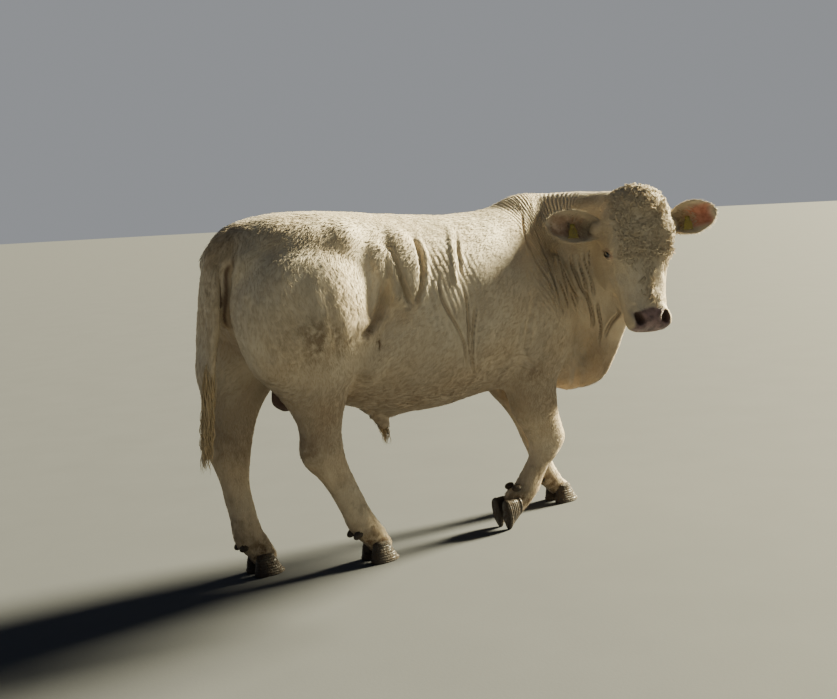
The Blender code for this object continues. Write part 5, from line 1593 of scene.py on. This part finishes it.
def lid_mesh(tree, centre, side, settings):
    """The rims of both lids: a soft welt round the opening that runs out over the face."""
    long, high, look = (np.array(v) for v in eye_frame(side))
    centre = np.array(centre)
    radius = settings.eye_radius
    rings = []
    for angle in np.linspace(0.0, math.tau, 56, endpoint=False):
        up = math.sin(angle)
        edge = long * settings.opening_length * math.cos(angle) \
            + high * settings.opening_height * up * abs(up) ** 0.15
        ring = []
        for scale, reach in ((1.02, radius - 0.0012), (0.97, radius + 0.0008), (1.02, radius + 0.0030),
                             (1.16, radius + 0.0042)):
            flat = edge * scale
            ring.append(centre + flat + look * math.sqrt(max(reach ** 2 - flat @ flat, 1e-6)))
        for scale, proud in ((1.42, 0.0022), (1.75, 0.0012), (2.1, -0.0012), (1.7, -0.0050)):
            flat = edge * scale * (1.0 + 0.25 * max(up, 0.0))
            hit = tree.ray_cast(Vector(centre + flat + look * 0.08), Vector(-look), 0.12)[0]
            base = np.array(hit) if hit is not None else centre + flat + look * radius * 0.9
            ring.append(base + look * proud)
        rings.append(ring)
    sides = len(rings[0])
    points = [p for ring in rings for p in ring]
    faces = []
    for r in range(len(rings)):
        for s in range(sides):
            t, q = (s + 1) % sides, (r + 1) % len(rings)
            faces.append((r * sides + s, r * sides + t, q * sides + t, q * sides + s))
    return points, faces


def lashes(centre, side, settings, count, seed):
    """Lashes along both lids, longer above."""
    draw = np.random.default_rng(seed)
    long, high, look = (np.array(v) for v in eye_frame(side))
    upper = np.arange(count) < count * 0.7
    angle = np.where(upper, draw.uniform(0.35, 2.9, count), draw.uniform(3.6, 5.8, count))
    up = np.sin(angle)
    edge = np.outer(settings.opening_length * np.cos(angle), long) \
        + np.outer(settings.opening_height * up * np.abs(up) ** 0.15, high)
    roots = np.array(centre) + edge * 1.04 \
        + np.outer(np.sqrt(np.maximum((settings.eye_radius + 0.003) ** 2 - (edge ** 2).sum(1), 1e-6)), look)
    fan = unit(edge) * np.where(upper, 0.55, 0.7)[:, None] + look * 0.8
    length = np.where(upper, draw.uniform(0.012, 0.019, count), draw.uniform(0.005, 0.009, count))
    paths = np.empty((count, 6, 3))
    for k, t in enumerate(np.linspace(0.0, 1.0, 6)):
        droop = np.where(upper, -0.35 * t + 0.45 * t * t, -0.5 * t)
        paths[:, k] = roots + (fan * t + np.outer(droop, high)) * length[:, None]
    widths = np.tile((0.0007, 0.0007, 0.0006, 0.0005, 0.0004, 0.0), (count, 1))
    return paths, np.tile(high, (count, 1)), widths, draw


def claw_mesh(toe, heel, y, tilt, inward, seed):
    """One claw: growth rings, a flatter inner wall, a worn edge, heel bulb and a flat sole."""
    levels = [(0.0, 0.004, 0.004, 0.0280), (0.05, 0.0, 0.0, 0.0290), (0.3, 0.012, 0.002, 0.0282),
              (0.7, 0.030, 0.006, 0.0250), (0.92, 0.040, 0.010, 0.0225), (1.02, 0.043, 0.009, 0.0235),
              (1.12, 0.050, 0.016, 0.0190), (1.18, 0.062, 0.030, 0.0090)]
    draw = np.random.default_rng(seed)
    angle = np.linspace(0.0, math.tau, 56, endpoint=False)
    rough = sum(draw.uniform(-1, 1) * np.cos(k * angle + draw.uniform(0, 6)) / k for k in range(3, 9))
    rings = []
    for level, reach, back, half in smooth_rows(levels, 44, 1):
        wide, high = oval(56, 2.5, 2.5)
        grown = 0.0007 * math.sin(level * 46.0) * (level < 0.98) + 0.0009 * rough * max(0.0, 0.25 - level) * 4
        inner = np.where(high * inward > 0, 0.72, 1.0)
        narrow = 1.0 - 0.34 * np.clip(wide, 0.0, 1.0) ** 2
        front, rear = toe - reach, heel + back
        x = (front + rear) / 2 + wide * ((front - rear) / 2 + grown)
        rings.append(np.stack((x, y + inward * 0.003 * wide + high * inner * narrow * (half + grown),
                               np.full_like(x, max(level, 0.0) * 0.075)), -1))
    points, faces = ring_mesh(rings)
    pivot = np.array((toe, y, 0.0))
    turn = np.array(Matrix.Rotation(tilt, 3, "Y"))
    points = (np.array(points) - pivot) @ turn.T + pivot + np.array((0.0, 0.0, -0.004 if tilt else 0.0))
    points[:, 2] = np.maximum(points[:, 2], 0.0)
    return points, faces


def dewclaw_mesh(x, y, z, lean, seed):
    """A dewclaw: a blunt cone of horn with rings, pointing down and back."""
    rings = []
    draw = np.random.default_rng(seed)
    for level, half in smooth_rows([(-0.012, 0.0125), (0.0, 0.0140), (0.012, 0.0125), (0.022, 0.0085),
                                    (0.027, 0.0035)], 22, 1):
        half = half + 0.0004 * math.sin(level * 900.0)
        angle = np.linspace(0.0, math.tau, 28, endpoint=False)
        ring = np.stack((1.15 * half * np.cos(angle), half * np.sin(angle), np.full_like(angle, -level)), -1)
        rings.append(ring)
    points, faces = ring_mesh(rings)
    turn = np.array(Matrix.Rotation(lean + draw.uniform(-0.1, 0.1), 3, "Y"))
    return np.array(points) @ turn.T + np.array((x, y, z)), faces


def tag_mesh(side):
    """A blank tag: a plate with round corners and a narrow neck, a rim, and the button of its stud."""
    root, way, face = ear_axes(side)[:3]
    hang = Vector((0.0, 0.0, -1.0))
    hang = (hang - face * hang.dot(face)).normalized()
    wide = hang.cross(face)
    stud = root + way * (0.48 if side > 0 else 0.58) * EAR_LENGTH
    top = stud + face * 0.012 - hang * 0.010
    outline = []
    for v, half in smooth_rows([(0.000, 0.0010), (0.0012, 0.0070), (0.006, 0.0095), (0.014, 0.0100),
                                (0.022, 0.0130), (0.030, 0.0175), (0.045, 0.0185), (0.054, 0.0175),
                                (0.0575, 0.0125), (0.058, 0.0010)], 34, 1):
        outline.append((v, max(half, 0.0008)))
    loop = [(-half, v) for v, half in outline] + [(half, v) for v, half in reversed(outline)]
    middle = np.array((0.0, 0.030))
    rings = []
    for depth, grow in ((0.0000, 0.93), (0.0000, 0.985), (0.0006, 1.0), (0.0016, 1.0), (0.0022, 0.985),
                        (0.0022, 0.94), (0.0017, 0.91), (0.0017, 0.85)):
        ring = []
        for u, v in loop:
            du, dv = (np.array((u, v)) - middle) * grow + middle
            bow = -0.0035 * ((dv - 0.03) / 0.03) ** 2
            ring.append(np.array(top + wide * du + hang * dv + face * (depth + bow)))
        rings.append(ring)
    plate = ring_mesh(rings)
    button = []
    for depth, radius in ((-0.02, 0.002), (-0.0185, 0.003), (-0.01, 0.003), (0.0115, 0.003),
                          (0.012, 0.0085), (0.0135, 0.0095), (0.015, 0.0088), (0.0156, 0.004),
                          (0.0165, 0.003), (0.017, 0.001)):
        centre = stud + face * depth
        button.append([np.array(centre + wide * radius * math.cos(a) + hang * radius * math.sin(a))
                       for a in np.linspace(0, math.tau, 28, endpoint=False)])
    return join_meshes([plate, ring_mesh(button)])


def eye_material(settings):
    """Wet dark iris round a wide pupil, with the white only at its rim."""
    material, tree, shader = new_material("wet_eye")
    iris = stored(tree, "iris")
    pupil = stored(tree, "pupil")
    place = object_place(tree)
    veins = mapped(tree, speckle(tree, place, 420.0, 4.0), 0.45, 0.65)
    white = mixed(tree, veins, (0.42, 0.36, 0.33, 1.0), (0.40, 0.20, 0.17, 1.0))
    rays = mixed(tree, mapped(tree, speckle(tree, place, 900.0), 0.35, 0.65), rgba(settings.iris),
                 (0.014, 0.008, 0.006, 1.0))
    colour = mixed(tree, pupil, mixed(tree, iris, white, rays), (0.004, 0.005, 0.009, 1.0))
    set_shader(tree, shader, {"Base Color": colour, "Roughness": mapped(tree, veins, 0.0, 1.0, 0.06, 0.10),
                              "Specular IOR Level": 0.7, "Coat Weight": 1.0, "Coat Roughness": 0.02})
    return material


def flesh_material(settings):
    """The lids: pinkish, finely wrinkled, darker and wet at the rim."""
    material, tree, shader = new_material("lid_skin")
    place = object_place(tree)
    rim = stored(tree, "rim")
    base = mixed(tree, mapped(tree, speckle(tree, place, 210.0), 0.35, 0.65), rgba(settings.lid),
                 rgba(settings.straw))
    colour = mixed(tree, rim, base, (0.075, 0.040, 0.034, 1.0))
    wrinkles = speckle(tree, place, 800.0, 4.0)
    set_shader(tree, shader, {"Base Color": colour, "Roughness": mapped(tree, rim, 0.0, 1.0, 0.62, 0.25),
                              "Normal": bumped(tree, wrinkles, 0.4, 0.0012)})
    return material


def horn_material(settings):
    """Dark hoof horn with growth rings and fine streaks, caked with dry mud."""
    material, tree, shader = new_material("muddy_horn")
    place = object_place(tree)
    height = add_node(tree, "ShaderNodeSeparateXYZ", {0: place}).outputs[2]
    warp = times(tree, speckle(tree, place, 30.0), 9.0)
    rings = maths(tree, "SINE", maths(tree, "ADD", times(tree, height, 900.0), warp))
    tall = add_node(tree, "ShaderNodeMapping", {"Vector": place, "Scale": (1.0, 1.0, 0.12)}).outputs[0]
    streaks = speckle(tree, tall, 420.0, 3.0)
    horn = mixed(tree, mapped(tree, streaks, 0.35, 0.65), rgba(settings.horn), rgba(settings.horn_pale))
    caked = mapped(tree, speckle(tree, place, 75.0, 5.0, 0.62), 0.46, 0.56)
    crumbs = speckle(tree, place, 620.0, 4.0)
    mud = mixed(tree, mapped(tree, crumbs, 0.35, 0.65), rgba(settings.mud), rgba(settings.mud_dry))
    colour = mixed(tree, times(tree, caked, 0.85), horn, mud)
    relief = maths(tree, "ADD", times(tree, rings, 0.12),
                   times(tree, caked, maths(tree, "ADD", times(tree, crumbs, 0.8), 0.5)))
    set_shader(tree, shader, {"Base Color": colour, "Roughness": mapped(tree, caked, 0.0, 1.0, 0.45, 0.92),
                              "Specular IOR Level": 0.4, "Normal": bumped(tree, relief, 0.8, 0.0022)})
    return material


def tag_material(settings):
    """Soft yellow plastic, scuffed and a little dusty."""
    material, tree, shader = new_material("tag_plastic")
    place = object_place(tree)
    dust = mapped(tree, speckle(tree, place, 130.0, 5.0), 0.42, 0.70)
    colour = mixed(tree, times(tree, dust, 0.75), rgba(settings.tag), rgba(settings.mud_dry))
    scuffs = add_node(tree, "ShaderNodeMapping", {"Vector": place, "Rotation": (0.4, 0.3, 0.7),
                                                  "Scale": (1.0, 8.0, 1.0)}).outputs[0]
    height = speckle(tree, scuffs, 260.0, 3.0)
    set_shader(tree, shader, {"Base Color": colour, "Roughness": mapped(tree, dust, 0.0, 1.0, 0.38, 0.75),
                              "Subsurface Weight": 0.08, "Normal": bumped(tree, height, 0.15, 0.0005)})
    return material


# Settings

def length_property(name, description, default):
    """A length that a user may change."""
    return FloatProperty(name=name, description=description, default=default, unit="LENGTH")


class BullSkinSettings(PropertyGroup):
    form_voxel: length_property("Form voxel", "Voxel that joins neck, legs and trunk", 0.010)
    skin_voxel: length_property("Skin voxel", "Voxel of the finished skin", 0.004)
    coat_depth: length_property("Coat depth", "How far the skin lies inside the outline", 0.003)
    fold_depth: FloatProperty(name="Fold depth", description="Strength of the folds of the skin", default=1.0)
    triangles: IntProperty(name="Triangles", description="Triangles of the finished skin", default=192000)
    eye_radius: length_property("Eye radius", "Radius of an eyeball", 0.0205)
    eye_proud: length_property("Eye stands out", "How far an eyeball shows before the face", 0.009)
    opening_length: length_property("Eye opening, long", "Half length of an eye's opening", 0.0180)
    opening_height: length_property("Eye opening, high", "Half height of an eye's opening", 0.0105)


class BullCoatSettings(PropertyGroup):
    tufts: IntProperty(name="Tufts", description="Flat tufts over the whole body", default=112000)
    curls: IntProperty(name="Curls", description="Curls on poll, forehead and nose", default=1150)
    length: FloatProperty(name="Coat length", description="Length of the tufts", default=1.0)
    switch_locks: IntProperty(name="Switch locks", description="Long locks of the tail", default=420)
    seed: IntProperty(name="Seed", description="Start of all random draws", default=7)


def colour_property(name, description, default):
    """A colour that a user may change."""
    return FloatVectorProperty(name=name, description=description, default=default, size=3, min=0.0, max=1.0,
                               subtype="COLOR")


class BullColourSettings(PropertyGroup):
    cream: colour_property("Cream", "Clean hair of back and neck", (0.83, 0.745, 0.585))
    straw: colour_property("Straw", "Warmer hair of sides and legs", (0.69, 0.545, 0.37))
    # also the painted shade in the troughs of the fine wrinkles
    shade_hair: colour_property("Hair in depth", "Hair between the tufts", (0.52, 0.41, 0.28))
    # dirt, and painted shade inside the ear cups
    dirt_and_ear_shade: colour_property("Dirt", "Smears on thigh, flank and hocks", (0.20, 0.125, 0.070))
    # pink and deep pink also paint a glow of light through the left ear
    pink: colour_property("Pink skin", "Lids, inner ears", (0.76, 0.35, 0.24))
    # painted shade in the folds, the cleft beside the tail, between the thighs and on the temples, and darker
    # skin under thin hair
    painted_shade_and_skin: colour_property("Crease", "Skin deep in the folds", (0.150, 0.085, 0.055))
    pink_deep: colour_property("Deep pink", "Blotches of the pink skin", (0.58, 0.21, 0.14))
    muzzle: colour_property("Muzzle", "Bare skin of the muzzle", (0.36, 0.235, 0.225))
    muzzle_deep: colour_property("Muzzle blotches", "Darker patches of the muzzle", (0.19, 0.125, 0.125))
    # dark skin of the scrotum with painted shade on it, and painted shade inside the nostrils
    dark_skin_and_shade: colour_property("Dark skin", "Skin of the scrotum", (0.13, 0.075, 0.055))
    lid: colour_property("Lids", "Skin of the lids", (0.50, 0.36, 0.27))
    iris: colour_property("Iris", "Iris of the eyes", (0.030, 0.015, 0.009))
    horn: colour_property("Horn", "Horn of the hooves", (0.044, 0.035, 0.029))
    horn_pale: colour_property("Pale horn", "Streaks of the horn", (0.090, 0.070, 0.053))
    mud: colour_property("Mud", "Damp mud on the hooves", (0.060, 0.040, 0.028))
    mud_dry: colour_property("Dry mud", "Dry mud and dust", (0.13, 0.100, 0.074))
    tag: colour_property("Tag", "Plastic of the ear tags", (0.30, 0.24, 0.050))
    hair_tint: colour_property("Hair tint", "Tint of the tufts over the markings", (1.0, 0.985, 0.96))
    # painted shade at the roots of the tufts, and the streaks of darker tufts
    hair_shade: colour_property("Hair shade", "Tint at the roots of the tufts", (0.60, 0.52, 0.43))
    lash_tint: colour_property("Lash tint", "Tint of the lashes", (0.55, 0.42, 0.30))
    switch_tint: colour_property("Switch tint", "Tint of the tail's long hair", (0.98, 0.91, 0.76))


# Operators

def object_settings(context):
    """The settings of the skin and of the colours."""
    return context.scene.bull_skin, context.scene.bull_colours


class BULL_OT_skin(Operator):
    """Make the skin with its folds, ears and tail"""
    bl_idname = "bull.skin"
    bl_label = "Skin"

    def execute(self, context):
        settings, colours = object_settings(context)
        body, eyes = make_skin(settings)
        for sign, word in ((-1, "right"), (1, "left")):
            body["eye_" + word] = [float(v) for v in eyes[sign]]
        set_marks(body.data, *markings(read_points(body.data), read_normals(body.data)))
        group = colour_group(colours)
        finish_piece(body, skin_material(group),
                     [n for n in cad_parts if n.startswith(SKIN_NODES) or n == "tail"])
        body.data.shade_smooth()
        return {"FINISHED"}


class BULL_OT_coat(Operator):
    """Lay the tufts of the coat over the skin"""
    bl_idname = "bull.coat"
    bl_label = "Coat"

    def execute(self, context):
        colours = context.scene.bull_colours
        locks, places = body_tufts(context.scene.bull_coat)
        names, charts = regions(places)
        material = hair_material("coat_hair", bpy.data.node_groups["bull_markings"], colours.hair_tint,
                                 colours.hair_shade, 0.8)
        for name in sorted(set(names)):
            index = np.nonzero(names == name)[0]
            if len(index) < FEWEST_TUFTS:
                continue
            parts = math.ceil(len(index) / PIECE_TUFTS)
            order = index[np.argsort(places[index, 0], kind="stable")]
            for number, share in enumerate(np.array_split(order, parts)):
                word = "coat_" + name + ("_%d" % (number + 1) if parts > 1 else "")
                coat_piece(word, pick(locks, share), charts[share], material, softness=0.72)
        return {"FINISHED"}


class BULL_OT_curls(Operator):
    """Set the curls of the poll, the forehead and the nose"""
    bl_idname = "bull.curls"
    bl_label = "Curls"

    def execute(self, context):
        colours = context.scene.bull_colours
        locks, places = head_curls(context.scene.bull_coat)
        s, side, out = head_values(places)
        charts = scaled(np.stack((side, s - 0.5 * out), -1))
        material = hair_material("curly_hair", bpy.data.node_groups["bull_markings"], colours.hair_tint,
                                 colours.hair_shade, 2.0)
        coat_piece("curls", locks, charts, material, softness=0.35)
        return {"FINISHED"}


class BULL_OT_long_hair(Operator):
    """Hang the switch of the tail and the tuft of the sheath, and fringe the ears"""
    bl_idname = "bull.long_hair"
    bl_label = "Switch, sheath tuft and ear fringe"

    def execute(self, context):
        settings = context.scene.bull_coat
        colours = context.scene.bull_colours
        group = bpy.data.node_groups["bull_markings"]
        switch = hair_material("switch_hair", group, colours.switch_tint, colours.hair_shade)
        pale = hair_material("fringe_hair", group, colours.hair_tint, colours.hair_shade)
        roots = ((-0.909, -0.034, 0.900), (-0.928, 0.002, 0.610))
        ends = ((-0.925, -0.012, 0.700), (-0.945, 0.000, 0.462))
        made = hanging_hair(settings.switch_locks, roots, ends, spread=0.026, width=0.0060, stations=10,
                            curl=0.007, seed=settings.seed + 2)
        hanging_piece("switch", made, 0.60, 0.25, switch, ("tail_switch",))
        roots = ((-0.172, 0.0, 0.552), (-0.154, 0.0, 0.505))
        ends = ((-0.160, 0.0, 0.506), (-0.147, 0.0, 0.452))
        made = hanging_hair(170, roots, ends, spread=0.021, width=0.0038, stations=8, curl=0.004,
                            seed=settings.seed + 3)
        hanging_piece("sheath_tuft", made, 0.9, 0.6, switch)
        for side, word in ((-1, "right"), (1, "left")):
            paths, flats, widths, draw, chart = ear_fringe(520, side, settings.seed + 4 + side)
            locks = hair_on_line(paths, flats, widths, draw, warmth=0.15, dirty=0.0)
            coat_piece("ear_fringe_" + word, locks, chart, pale)
        return {"FINISHED"}


class BULL_OT_eyes(Operator):
    """Make the eyeballs, the rims of the lids and the lashes"""
    bl_idname = "bull.eyes"
    bl_label = "Eyes, lids and lashes"

    def execute(self, context):
        settings, colours = object_settings(context)
        points, _, triangles = skin_surface()
        tree = BVHTree.FromPolygons([Vector(p) for p in points], triangles.tolist())
        wet = eye_material(colours)
        flesh = flesh_material(colours)
        lash = hair_material("lash_hair", bpy.data.node_groups["bull_markings"], colours.lash_tint,
                             colours.hair_shade)
        for side, word in ((-1, "right"), (1, "left")):
            centre = np.array(bpy.data.objects["skin"]["eye_" + word])
            points, faces, iris, pupil = eyeball(centre, side, settings.eye_radius)
            ball = mesh_object("eyeball_" + word, points, faces)
            set_value(ball.data, "iris", iris)
            set_value(ball.data, "pupil", pupil)
            ball.data.shade_smooth()
            finish_piece(ball, wet, ("eye_" + word,))
            points, faces = lid_mesh(tree, centre, side, settings)
            lid = mesh_object("lids_" + word, points, faces)
            rim = np.tile((1.0, 0.9, 0.35, 0.0, 0.0, 0.0, 0.0, 0.0), len(points) // 8)
            set_value(lid.data, "rim", rim)
            finer = lid.modifiers.new("finer", "SUBSURF")
            finer.levels = finer.render_levels = 1
            bake(lid)
            lid.data.shade_smooth()
            finish_piece(lid, flesh)
            made = lashes(centre, side, settings, count=64, seed=50 + side)
            chart = scaled(made[0][:, 0, :2])
            coat_piece("lashes_" + word, hair_on_line(*made, warmth=0.6, dirty=0.0), chart, lash)
        return {"FINISHED"}


class BULL_OT_hooves(Operator):
    """Make the claws and dewclaws of the four feet"""
    bl_idname = "bull.hooves"
    bl_label = "Hooves"

    def execute(self, context):
        horn = horn_material(context.scene.bull_colours)
        for number, (name, (toe, heel, y, tilt, dewclaw)) in enumerate(FEET.items()):
            outward = math.copysign(1.0, y)
            for word, shift in (("outer", 0.031), ("inner", -0.031)):
                at = y + outward * shift
                inward = -math.copysign(1.0, at - y)
                seed = 2 * number + (shift > 0)
                label = name + "_" + word
                claw = mesh_object("hoof_" + label, *claw_mesh(toe, heel, at, tilt, inward, 60 + seed))
                claw.data.shade_smooth()
                finish_piece(claw, horn, ("claw_" + label,))
                x, z = dewclaw[0] - 0.004, dewclaw[1]
                lean = math.radians(58.0) + tilt * 0.4
                spur = mesh_object("spur_" + label,
                                   *dewclaw_mesh(x, y + math.copysign(0.024, at - y), z, lean, 80 + seed))
                spur.data.shade_smooth()
                finish_piece(spur, horn, ("dewclaw_" + label,))
        return {"FINISHED"}


class BULL_OT_tags(Operator):
    """Hang the blank tags in the ears"""
    bl_idname = "bull.tags"
    bl_label = "Ear tags"

    def execute(self, context):
        plastic = tag_material(context.scene.bull_colours)
        for side, word in ((-1, "right"), (1, "left")):
            tag = mesh_object("tag_" + word, *tag_mesh(side))
            tag.data.shade_smooth()
            tag.data.set_sharp_from_angle(angle=math.radians(50))
            finish_piece(tag, plastic, ("ear_tag_" + word,))
        return {"FINISHED"}


class BULL_OT_stage(Operator):
    """Make the floor, the lights and the camera"""
    bl_idname = "bull.stage"
    bl_label = "Studio"

    def execute(self, context):
        rim = [(90.0 * math.cos(a), 90.0 * math.sin(a), -0.001) for a in np.linspace(0, math.tau, 64, False)]
        mesh = bpy.data.meshes.new("floor")
        mesh.from_pydata(rim, [], [tuple(range(64))])
        floor = bpy.data.objects.new("floor", mesh)
        context.collection.objects.link(floor)
        material, tree, shader = new_material("pale_floor")
        place = object_place(tree)
        grain = speckle(tree, place, 2.5, 6.0)
        colour = mixed(tree, grain, (0.076, 0.082, 0.096, 1.0), (0.094, 0.101, 0.116, 1.0))
        set_shader(tree, shader, {"Base Color": colour, "Roughness": 0.9,
                                  "Normal": bumped(tree, speckle(tree, place, 90.0), 0.15, 0.002)})
        mesh.materials.append(material)
        world = bpy.data.worlds.new("studio")
        world.use_nodes = True
        tree = world.node_tree
        way = add_node(tree, "ShaderNodeTexCoord").outputs["Generated"]
        way = add_node(tree, "ShaderNodeSeparateXYZ", {"Vector": way}).outputs
        near = mapped(tree, way["Y"], -0.6, 0.2)
        glow = mixed(tree, near, (0.105, 0.114, 0.132, 1.0), (0.290, 0.302, 0.320, 1.0))
        glow = mixed(tree, mapped(tree, way["Z"], 0.24, 0.42), glow, (0.030, 0.038, 0.052, 1.0))
        tree.links.new(glow, tree.nodes["Background"].inputs["Color"])
        context.scene.world = world
        lamp = bpy.data.lights.new("key", "SUN")
        lamp.angle = math.radians(12.0)
        lamp.energy = 30.0
        lamp.color = (1.0, 0.91, 0.59)
        key = bpy.data.objects.new("key", lamp)
        context.collection.objects.link(key)
        key.rotation_euler = Vector((-0.919, 0.025, -0.393)).to_track_quat("-Z", "Y").to_euler()
        # the camera that was fitted to the photo
        camera_at = (-2.824, -3.8087, 1.3918)
        turn, pitch, roll = math.radians(-35.0), math.radians(6.9231), math.radians(3.0)
        focal_pixels, wide_pixels = 1200.0, 837.0
        back = Vector((math.sin(turn) * math.cos(pitch), -math.cos(turn) * math.cos(pitch), math.sin(pitch)))
        right = (-back).cross(Vector((0.0, 0.0, 1.0))).normalized()
        up = right.cross(-back)
        across = right * math.cos(roll) - up * math.sin(roll)
        high = up * math.cos(roll) + right * math.sin(roll)
        lens = bpy.data.cameras.new("camera")
        lens.sensor_fit = "HORIZONTAL"
        lens.sensor_width = 36.0
        lens.lens = lens.sensor_width * focal_pixels / wide_pixels
        camera = bpy.data.objects.new("camera", lens)
        context.collection.objects.link(camera)
        tilt = Matrix((across, high, back)).transposed().to_4x4()
        camera.matrix_world = Matrix.Translation(camera_at) @ tilt
        context.scene.camera = camera
        return {"FINISHED"}


class BULL_PT_panel(Panel):
    """Lists the pieces of the bull"""
    bl_label = "Charolais Bull"
    bl_idname = "BULL_PT_panel"
    bl_space_type = "VIEW_3D"
    bl_region_type = "UI"
    bl_category = "Bull"

    def draw(self, context):
        for operator in OPERATORS:
            self.layout.operator(operator.bl_idname)
        for group in (context.scene.bull_skin, context.scene.bull_coat, context.scene.bull_colours):
            box = self.layout.box()
            for name in group.__annotations__:
                box.prop(group, name)


OPERATORS = (BULL_OT_stage, BULL_OT_skin, BULL_OT_coat, BULL_OT_curls, BULL_OT_long_hair, BULL_OT_eyes,
             BULL_OT_hooves, BULL_OT_tags)
CLASSES = (BullSkinSettings, BullCoatSettings, BullColourSettings, *OPERATORS, BULL_PT_panel)


def register():
    for item in CLASSES:
        bpy.utils.register_class(item)
    bpy.types.Scene.bull_skin = PointerProperty(type=BullSkinSettings)
    bpy.types.Scene.bull_coat = PointerProperty(type=BullCoatSettings)
    bpy.types.Scene.bull_colours = PointerProperty(type=BullColourSettings)


def unregister():
    del bpy.types.Scene.bull_colours
    del bpy.types.Scene.bull_coat
    del bpy.types.Scene.bull_skin
    for item in reversed(CLASSES):
        bpy.utils.unregister_class(item)


def main():
    register()
    bpy.ops.bull.stage()
    bpy.ops.bull.skin()
    bpy.ops.bull.coat()
    bpy.ops.bull.curls()
    bpy.ops.bull.long_hair()
    bpy.ops.bull.eyes()
    bpy.ops.bull.hooves()
    bpy.ops.bull.tags()


if __name__ == "__main__":
    main()
